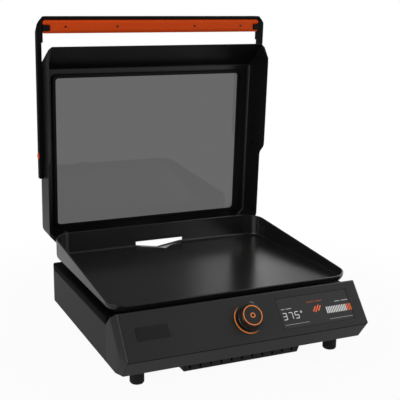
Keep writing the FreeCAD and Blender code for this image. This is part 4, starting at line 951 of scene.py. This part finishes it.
class GRIDDLE_OT_display(bpy.types.Operator):
    """Finishes the display lens and lights its plain figures and bars"""

    bl_idname = "griddle.display"
    bl_label = "Display"

    # Middle of the first figure, from the knob's middle
    first_figure, figure_up = 86.5 * MM, -8.5 * MM
    # Middle of the degree ring, from the place of the next figure and from the figures' top
    degree_left, degree_down = 3 * MM, 2.4 * MM
    degree_radius, degree_band = 1.9 * MM, 1.1 * MM
    level_left = 191 * MM
    level_warm_from = 12
    # Width of a level bar, in pitches of the row
    level_share = 0.55
    level_round = 0.5 * MM
    # Dashes as (left, up, width), in millimetres from the knob's middle
    captions = ((81, 7.5, 9), (93, 7.5, 14), (218, 8.5, 14), (235, 8.5, 18))
    warm_captions = ((147, 15.5, 19), (169, 15.5, 18))
    lines = ((81, -27.8, 60), (193, -29.2, 60))
    caption_tall, line_tall = 1.7 * MM, 0.8 * MM
    # Round of a dash's corners, in its heights
    dash_round = 0.45
    # Slanted strokes as (across, length), in millimetres from their middle
    heat_strokes = ((-6.4, 14), (0, 19), (6.4, 14))
    heat_across, heat_up = 169.5 * MM, -1.3 * MM
    heat_slant = math.radians(52)
    heat_wide, heat_round = 2.7 * MM, 0.8 * MM

    def execute(self, context):
        soften("display_lens", sizes().fine_edge / 2)
        dress("display_module")
        pale = lit_mark("display_pale", colours().digits, 1.0)
        dim = lit_mark("display_dim", colours().caption, 1.0)
        warm = lit_mark("display_warm", colours().warm, 1.0)
        faint = lit_mark("display_faint", colours().warm, 0.22)
        lens = top_of("display_lens")
        for name, draw, material, lift in (
            ("reading", self.draw_reading, pale, lens),
            # Painted shadow round the lens, in the bare plate's gloss black
            ("outline", self.draw_outline, badge_face(), 0.0),
            ("level_pale", self.draw_level, pale, lens),
            ("level_warm", self.draw_level_end, warm, lens),
            ("captions", self.draw_captions, dim, lens),
            ("warm_caption", self.draw_warm_caption, faint, lens),
            ("lines", self.draw_lines, dim, lens),
            ("heat_mark", self.draw_heat, warm, lens),
        ):
            print_marks(f"display_{name}", draw, "base", material, lift)
        return {"FINISHED"}

    def draw_reading(self, bm):
        size = sizes()
        for place, figure in enumerate(size.reading):
            draw_figure(bm, figure, (self.first_figure + place * size.digit_pitch, self.figure_up))
        across = self.first_figure + len(size.reading) * size.digit_pitch - self.degree_left
        up = self.figure_up + size.digit_height / 2 - self.degree_down
        ring(bm, (across, up), self.degree_radius, self.degree_band)

    def draw_outline(self, bm):
        """A dark line round the lens: painted shadow of the gap round it."""
        flat = panel_frame().inverted()
        spots = [flat @ vert.co for vert in frame["nodes"]["display_lens"].data.vertices]
        left, right = (choose(spot.x for spot in spots) for choose in (min, max))
        low, high = (choose(spot.y for spot in spots) for choose in (min, max))
        line = sizes().lens_line
        thick = sizes().mark_thick
        for up in (low - line / 2, high + line / 2):
            bar(bm, ((left + right) / 2, up), (right - left + 2 * line, line, thick))
        for across in (left - line / 2, right + line / 2):
            bar(bm, (across, (low + high) / 2), (line, high - low, thick))

    def level_bars(self, bm, first, last):
        size = sizes()
        pitch = size.level_width / size.level_count
        for place in range(first, last):
            spot = (self.level_left + (place + 0.5) * pitch, self.figure_up)
            block = (pitch * self.level_share, size.level_height, size.mark_thick)
            bar(bm, spot, block, cut=self.level_round, rounds=2)

    def draw_level(self, bm):
        self.level_bars(bm, 0, self.level_warm_from)

    def draw_level_end(self, bm):
        self.level_bars(bm, self.level_warm_from, sizes().level_count)

    def draw_dashes(self, bm, dashes, tall):
        for left, up, width in dashes:
            spot = ((left + width / 2) * MM, up * MM)
            block = (width * MM, tall, sizes().mark_thick)
            bar(bm, spot, block, cut=tall * self.dash_round, rounds=4)

    def draw_captions(self, bm):
        self.draw_dashes(bm, self.captions, self.caption_tall)

    def draw_warm_caption(self, bm):
        self.draw_dashes(bm, self.warm_captions, self.caption_tall)

    def draw_lines(self, bm):
        self.draw_dashes(bm, self.lines, self.line_tall)

    def draw_heat(self, bm):
        """Three plain slanted strokes."""
        for across, length in self.heat_strokes:
            spot = (self.heat_across + across * MM, self.heat_up)
            block = (length * MM, self.heat_wide, sizes().mark_thick)
            bar(bm, spot, block, turn=self.heat_slant, cut=self.heat_round, rounds=3)


class GRIDDLE_OT_knob(bpy.types.Operator):
    """Finishes the knob, its lit rings, its centre mark and a painted highlight above it"""

    bl_idname = "griddle.knob"
    bl_label = "Knob"

    centre_radius, centre_band = 4.7 * MM, 1.5 * MM
    # Painted highlight: a short, dimly glowing arc on the face just outside the lit ring, up and to the right of
    # the knob
    pointer_radius, pointer_band = 38.5 * MM, 1.4 * MM
    pointer_start, pointer_sweep = math.radians(54), math.radians(15)
    pointer_steps = 12

    def execute(self, context):
        soften("control_knob", sizes().fine_edge)
        dress("knob_face_ring", "knob_light_ring", "encoder_body", "encoder_plunger", "encoder_shaft")
        glow = finish_of("glow_plastic")
        face = top_of("control_knob")
        print_marks("knob_centre_mark", self.draw_centre, "dial", glow, face)
        # The painted highlight glows dimly in the captions' grey.
        dim = lit_mark("panel_print", colours().caption, 0.4)
        print_marks("knob_pointer_mark", self.draw_pointer, "base", dim)
        return {"FINISHED"}

    def draw_centre(self, bm):
        ring(bm, (0, 0), self.centre_radius, self.centre_band)

    def draw_pointer(self, bm):
        ring(
            bm, (0, 0), self.pointer_radius, self.pointer_band, self.pointer_start, self.pointer_sweep,
            self.pointer_steps,
        )


class GRIDDLE_OT_hood(bpy.types.Operator):
    """Finishes the hood, its window and its hinge"""

    bl_idname = "griddle.hood"
    bl_label = "Hood"

    def execute(self, context):
        size = sizes()
        soften("hood_shell", size.sheet_fold, size.fine_edge)
        soften("window_frame", size.fine_edge)
        dress("hood_glass", "glass_seal", "bracket_bolts")
        for side in ("left", "right"):
            soften(f"hinge_bracket_{side}", size.fine_edge)
            soften(f"hood_lug_{side}", size.fine_edge)
            dress(f"hinge_pin_{side}")
        return {"FINISHED"}


class GRIDDLE_OT_handle(bpy.types.Operator):
    """Finishes the handle's arms, crossbar, grip and fixings"""

    bl_idname = "griddle.handle"
    bl_label = "Handle"

    def execute(self, context):
        size = sizes()
        for side, sign in (("left", -1), ("right", 1)):
            soften(f"handle_arm_{side}", size.fine_edge * 2, cut_sides=[sign])
            soften(f"arm_cap_{side}", size.fine_edge)
        soften("handle_crossbar", size.fine_edge * 2, cut_sides=(-1, 1))
        soften("handle_grip", size.grip_edge, size.fine_edge)
        soften("grip_clips", size.fine_edge * 2)
        dress("grip_screws")
        dress("arm_bolts", slot="hood_enamel")
        return {"FINISHED"}


class GRIDDLE_OT_rear(bpy.types.Operator):
    """Finishes the grease cup, its rails and the power inlet"""

    bl_idname = "griddle.rear"
    bl_label = "Rear"

    def execute(self, context):
        for node in ("grease_cup", "grease_cup_rails", "power_inlet"):
            soften(node, sizes().fine_edge)
        return {"FINISHED"}


class GRIDDLE_OT_inside(bpy.types.Operator):
    """Finishes the parts that the housing hides"""

    bl_idname = "griddle.inside"
    bl_label = "Inside"

    def execute(self, context):
        dress(
            "reflector_pan", "heating_element", "element_clamps", "plate_posts", "temperature_probe",
            "thermal_cutout", "control_board", "power_relay",
        )
        return {"FINISHED"}


class GRIDDLE_OT_stage(bpy.types.Operator):
    """Sets the floor, the soft lights, the backdrop and the camera"""

    bl_idname = "griddle.stage"
    bl_label = "Stage"

    def execute(self, context):
        self.add_floor()
        self.set_world()
        for name, (place, size) in LAMPS.items():
            self.add_light(name, place, size, getattr(stage(), f"{name}_power"))
        self.add_camera()
        context.scene.view_settings.view_transform = "Standard"
        return {"FINISHED"}

    def rays(self, start, name):
        """1 for rays of one kind."""
        path = start.node("ShaderNodeLightPath")
        return Shade(start.tree, path.socket.node.outputs[name])

    def backdrop_share(self, start):
        """1 for rays that should see the plain backdrop."""
        total = self.rays(start, "Is Camera Ray") + self.rays(start, "Is Glossy Ray")
        total = total + self.rays(start, "Is Transmission Ray")
        return total.maths("MINIMUM", total, 1.0)

    def axes(self, start, vector, count):
        """The first few coordinates of a vector, each as a value."""
        return [
            start.node("ShaderNodeSeparateXYZ", {}, {"Vector": vector}, output=axis) for axis in range(count)
        ]

    def distance(self, place):
        """Distance from the middle of the floor."""
        return place.node("ShaderNodeVectorMath", {"operation": "LENGTH"}, {0: place}, output=1)

    def backdrop_tone(self, start):
        """White to the camera; in reflections dimmer, most of all at the left, and white behind."""
        across, rear = self.axes(start, start, 2)
        mirror = stage().mirror
        near = (self.distance(start) * (1 / FLOOR_REACH)).ramp(
            (0.06, 0.6 * mirror), (0.14, mirror), (0.5, mirror), (0.9, 0.4 * mirror)
        )
        near = near * (across + 1).ramp((0.38, 0.45), (0.48, 1), (0.6, 1))
        behind = rear.ramp((0.3, 0), (0.5, 1)) * (across + 0.5).ramp((0.2, 0), (0.4, 1))
        return start.blend(self.rays(start, "Is Glossy Ray"), WHITE, start.blend(behind, near, WHITE))

    def add_floor(self):
        bm = bmesh.new()
        bmesh.ops.create_grid(bm, x_segments=2, y_segments=2, size=FLOOR_HALF)
        mesh = bpy.data.meshes.new("floor")
        bm.to_mesh(mesh)
        bm.free()
        floor = bpy.data.objects.new("floor", mesh)
        bpy.context.scene.collection.objects.link(floor)
        material, place = new_finish("floor")
        matte = place.node("ShaderNodeBsdfDiffuse", {}, {"Color": rgba(colours().floor)})
        plain = place.node("ShaderNodeEmission", {}, {"Color": self.backdrop_tone(place), "Strength": 1.0})
        far = self.distance(place).ramp((0.55, 0), (1.0, 1))
        clear = place.blend(far, rgba([stage().clear_floor] * 3), WHITE)
        share = clear * self.backdrop_share(place)
        surface = place.node("ShaderNodeMixShader", {}, {0: share, 1: matte, 2: plain})
        place.node("ShaderNodeOutputMaterial", {}, {"Surface": surface})
        mesh.materials.append(material)

    def set_world(self):
        """White to the camera, dimmer in front and at the left in reflections, and a soft light."""
        world = bpy.data.worlds.new("studio")
        world.use_nodes = True
        world.node_tree.nodes.clear()
        start = Shade(world.node_tree)
        way = start.node("ShaderNodeTexCoord", output=0)
        across, rear, rise = self.axes(start, way, 3)
        mirror, ceiling = stage().mirror, stage().ceiling
        from_left = across * 0.5 + 0.5
        depth = (rear * 0.5 + 0.5).ramp((0.2, stage().front), (0.7, 1.0))
        beside = from_left.ramp(
            (0.36, 0.4 * mirror), (0.6, mirror), (0.7, mirror), (0.73, 1.0), (0.745, 1.0), (0.765, 0.3),
            (0.82, 0.35), (0.88, 1.0),
        )
        overhead = from_left.ramp((0.6, ceiling * 0.1), (0.78, ceiling))
        seen = start.blend(rise.ramp((0.3, 0.0), (0.75, 1.0)), depth * beside, overhead)
        shown = start.blend(self.rays(start, "Is Camera Ray"), seen, WHITE)
        backdrop = start.node("ShaderNodeBackground", {}, {"Color": shown, "Strength": 1.0})
        soft_tone = rise.ramp((0.0, 0.25), (0.5, 0.8), (0.9, 1.6))
        soft = start.node("ShaderNodeBackground", {}, {"Color": soft_tone, "Strength": stage().ambient})
        surface = start.node(
            "ShaderNodeMixShader", {}, {0: self.backdrop_share(start), 1: soft, 2: backdrop}
        )
        start.node("ShaderNodeOutputWorld", {}, {"Surface": surface})
        bpy.context.scene.world = world

    def add_light(self, name, place, size, power):
        lamp = bpy.data.lights.new(name, "AREA")
        lamp.shape = "RECTANGLE"
        lamp.size, lamp.size_y = size
        lamp.energy = power
        light = bpy.data.objects.new(name, lamp)
        light.location = place
        middle = (CAD_BOX[0] + CAD_BOX[1]) / 2
        light.rotation_euler = (middle - Vector(place)).to_track_quat("-Z", "Y").to_euler()
        light.visible_camera = False
        bpy.context.scene.collection.objects.link(light)

    def add_camera(self):
        set_up = stage()
        data = bpy.data.cameras.new("camera")
        data.lens = set_up.lens
        data.sensor_width = SENSOR_WIDTH
        data.shift_x = set_up.shift_right
        data.shift_y = set_up.shift_up
        camera = bpy.data.objects.new("camera", data)
        camera.location = set_up.camera_place
        camera.rotation_euler = (math.pi / 2 - set_up.camera_pitch, 0, -set_up.camera_yaw)
        bpy.context.scene.collection.objects.link(camera)
        bpy.context.scene.camera = camera


OPERATORS = (
    GRIDDLE_OT_plate, GRIDDLE_OT_housing, GRIDDLE_OT_badge, GRIDDLE_OT_display, GRIDDLE_OT_knob,
    GRIDDLE_OT_hood, GRIDDLE_OT_handle, GRIDDLE_OT_rear, GRIDDLE_OT_inside, GRIDDLE_OT_stage,
)


class GRIDDLE_PT_looks(bpy.types.Panel):
    """Lists the steps that dress the griddle"""

    bl_idname = "GRIDDLE_PT_looks"
    bl_label = "Griddle"
    bl_space_type = "VIEW_3D"
    bl_region_type = "UI"
    bl_category = "Griddle"

    def draw(self, context):
        for step in OPERATORS:
            self.layout.operator(step.bl_idname)
        for group in (colours(), sizes(), stage()):
            box = self.layout.box()
            for name in group.bl_rna.properties.keys():
                if name not in ("rna_type", "name"):
                    box.prop(group, name)


CLASSES = (GriddleColours, GriddleSizes, GriddleStage) + OPERATORS + (GRIDDLE_PT_looks,)


def register():
    for item in CLASSES:
        bpy.utils.register_class(item)
    bpy.types.Scene.griddle_colours = PointerProperty(type=GriddleColours)
    bpy.types.Scene.griddle_sizes = PointerProperty(type=GriddleSizes)
    bpy.types.Scene.griddle_stage = PointerProperty(type=GriddleStage)


def unregister():
    del bpy.types.Scene.griddle_stage
    del bpy.types.Scene.griddle_sizes
    del bpy.types.Scene.griddle_colours
    for item in reversed(CLASSES):
        bpy.utils.unregister_class(item)


def main():
    register()
    bpy.ops.griddle.plate()
    bpy.ops.griddle.housing()
    bpy.ops.griddle.badge()
    bpy.ops.griddle.display()
    bpy.ops.griddle.knob()
    bpy.ops.griddle.hood()
    bpy.ops.griddle.handle()
    bpy.ops.griddle.rear()
    bpy.ops.griddle.inside()
    bpy.ops.griddle.stage()


if __name__ == "__main__":
    main()
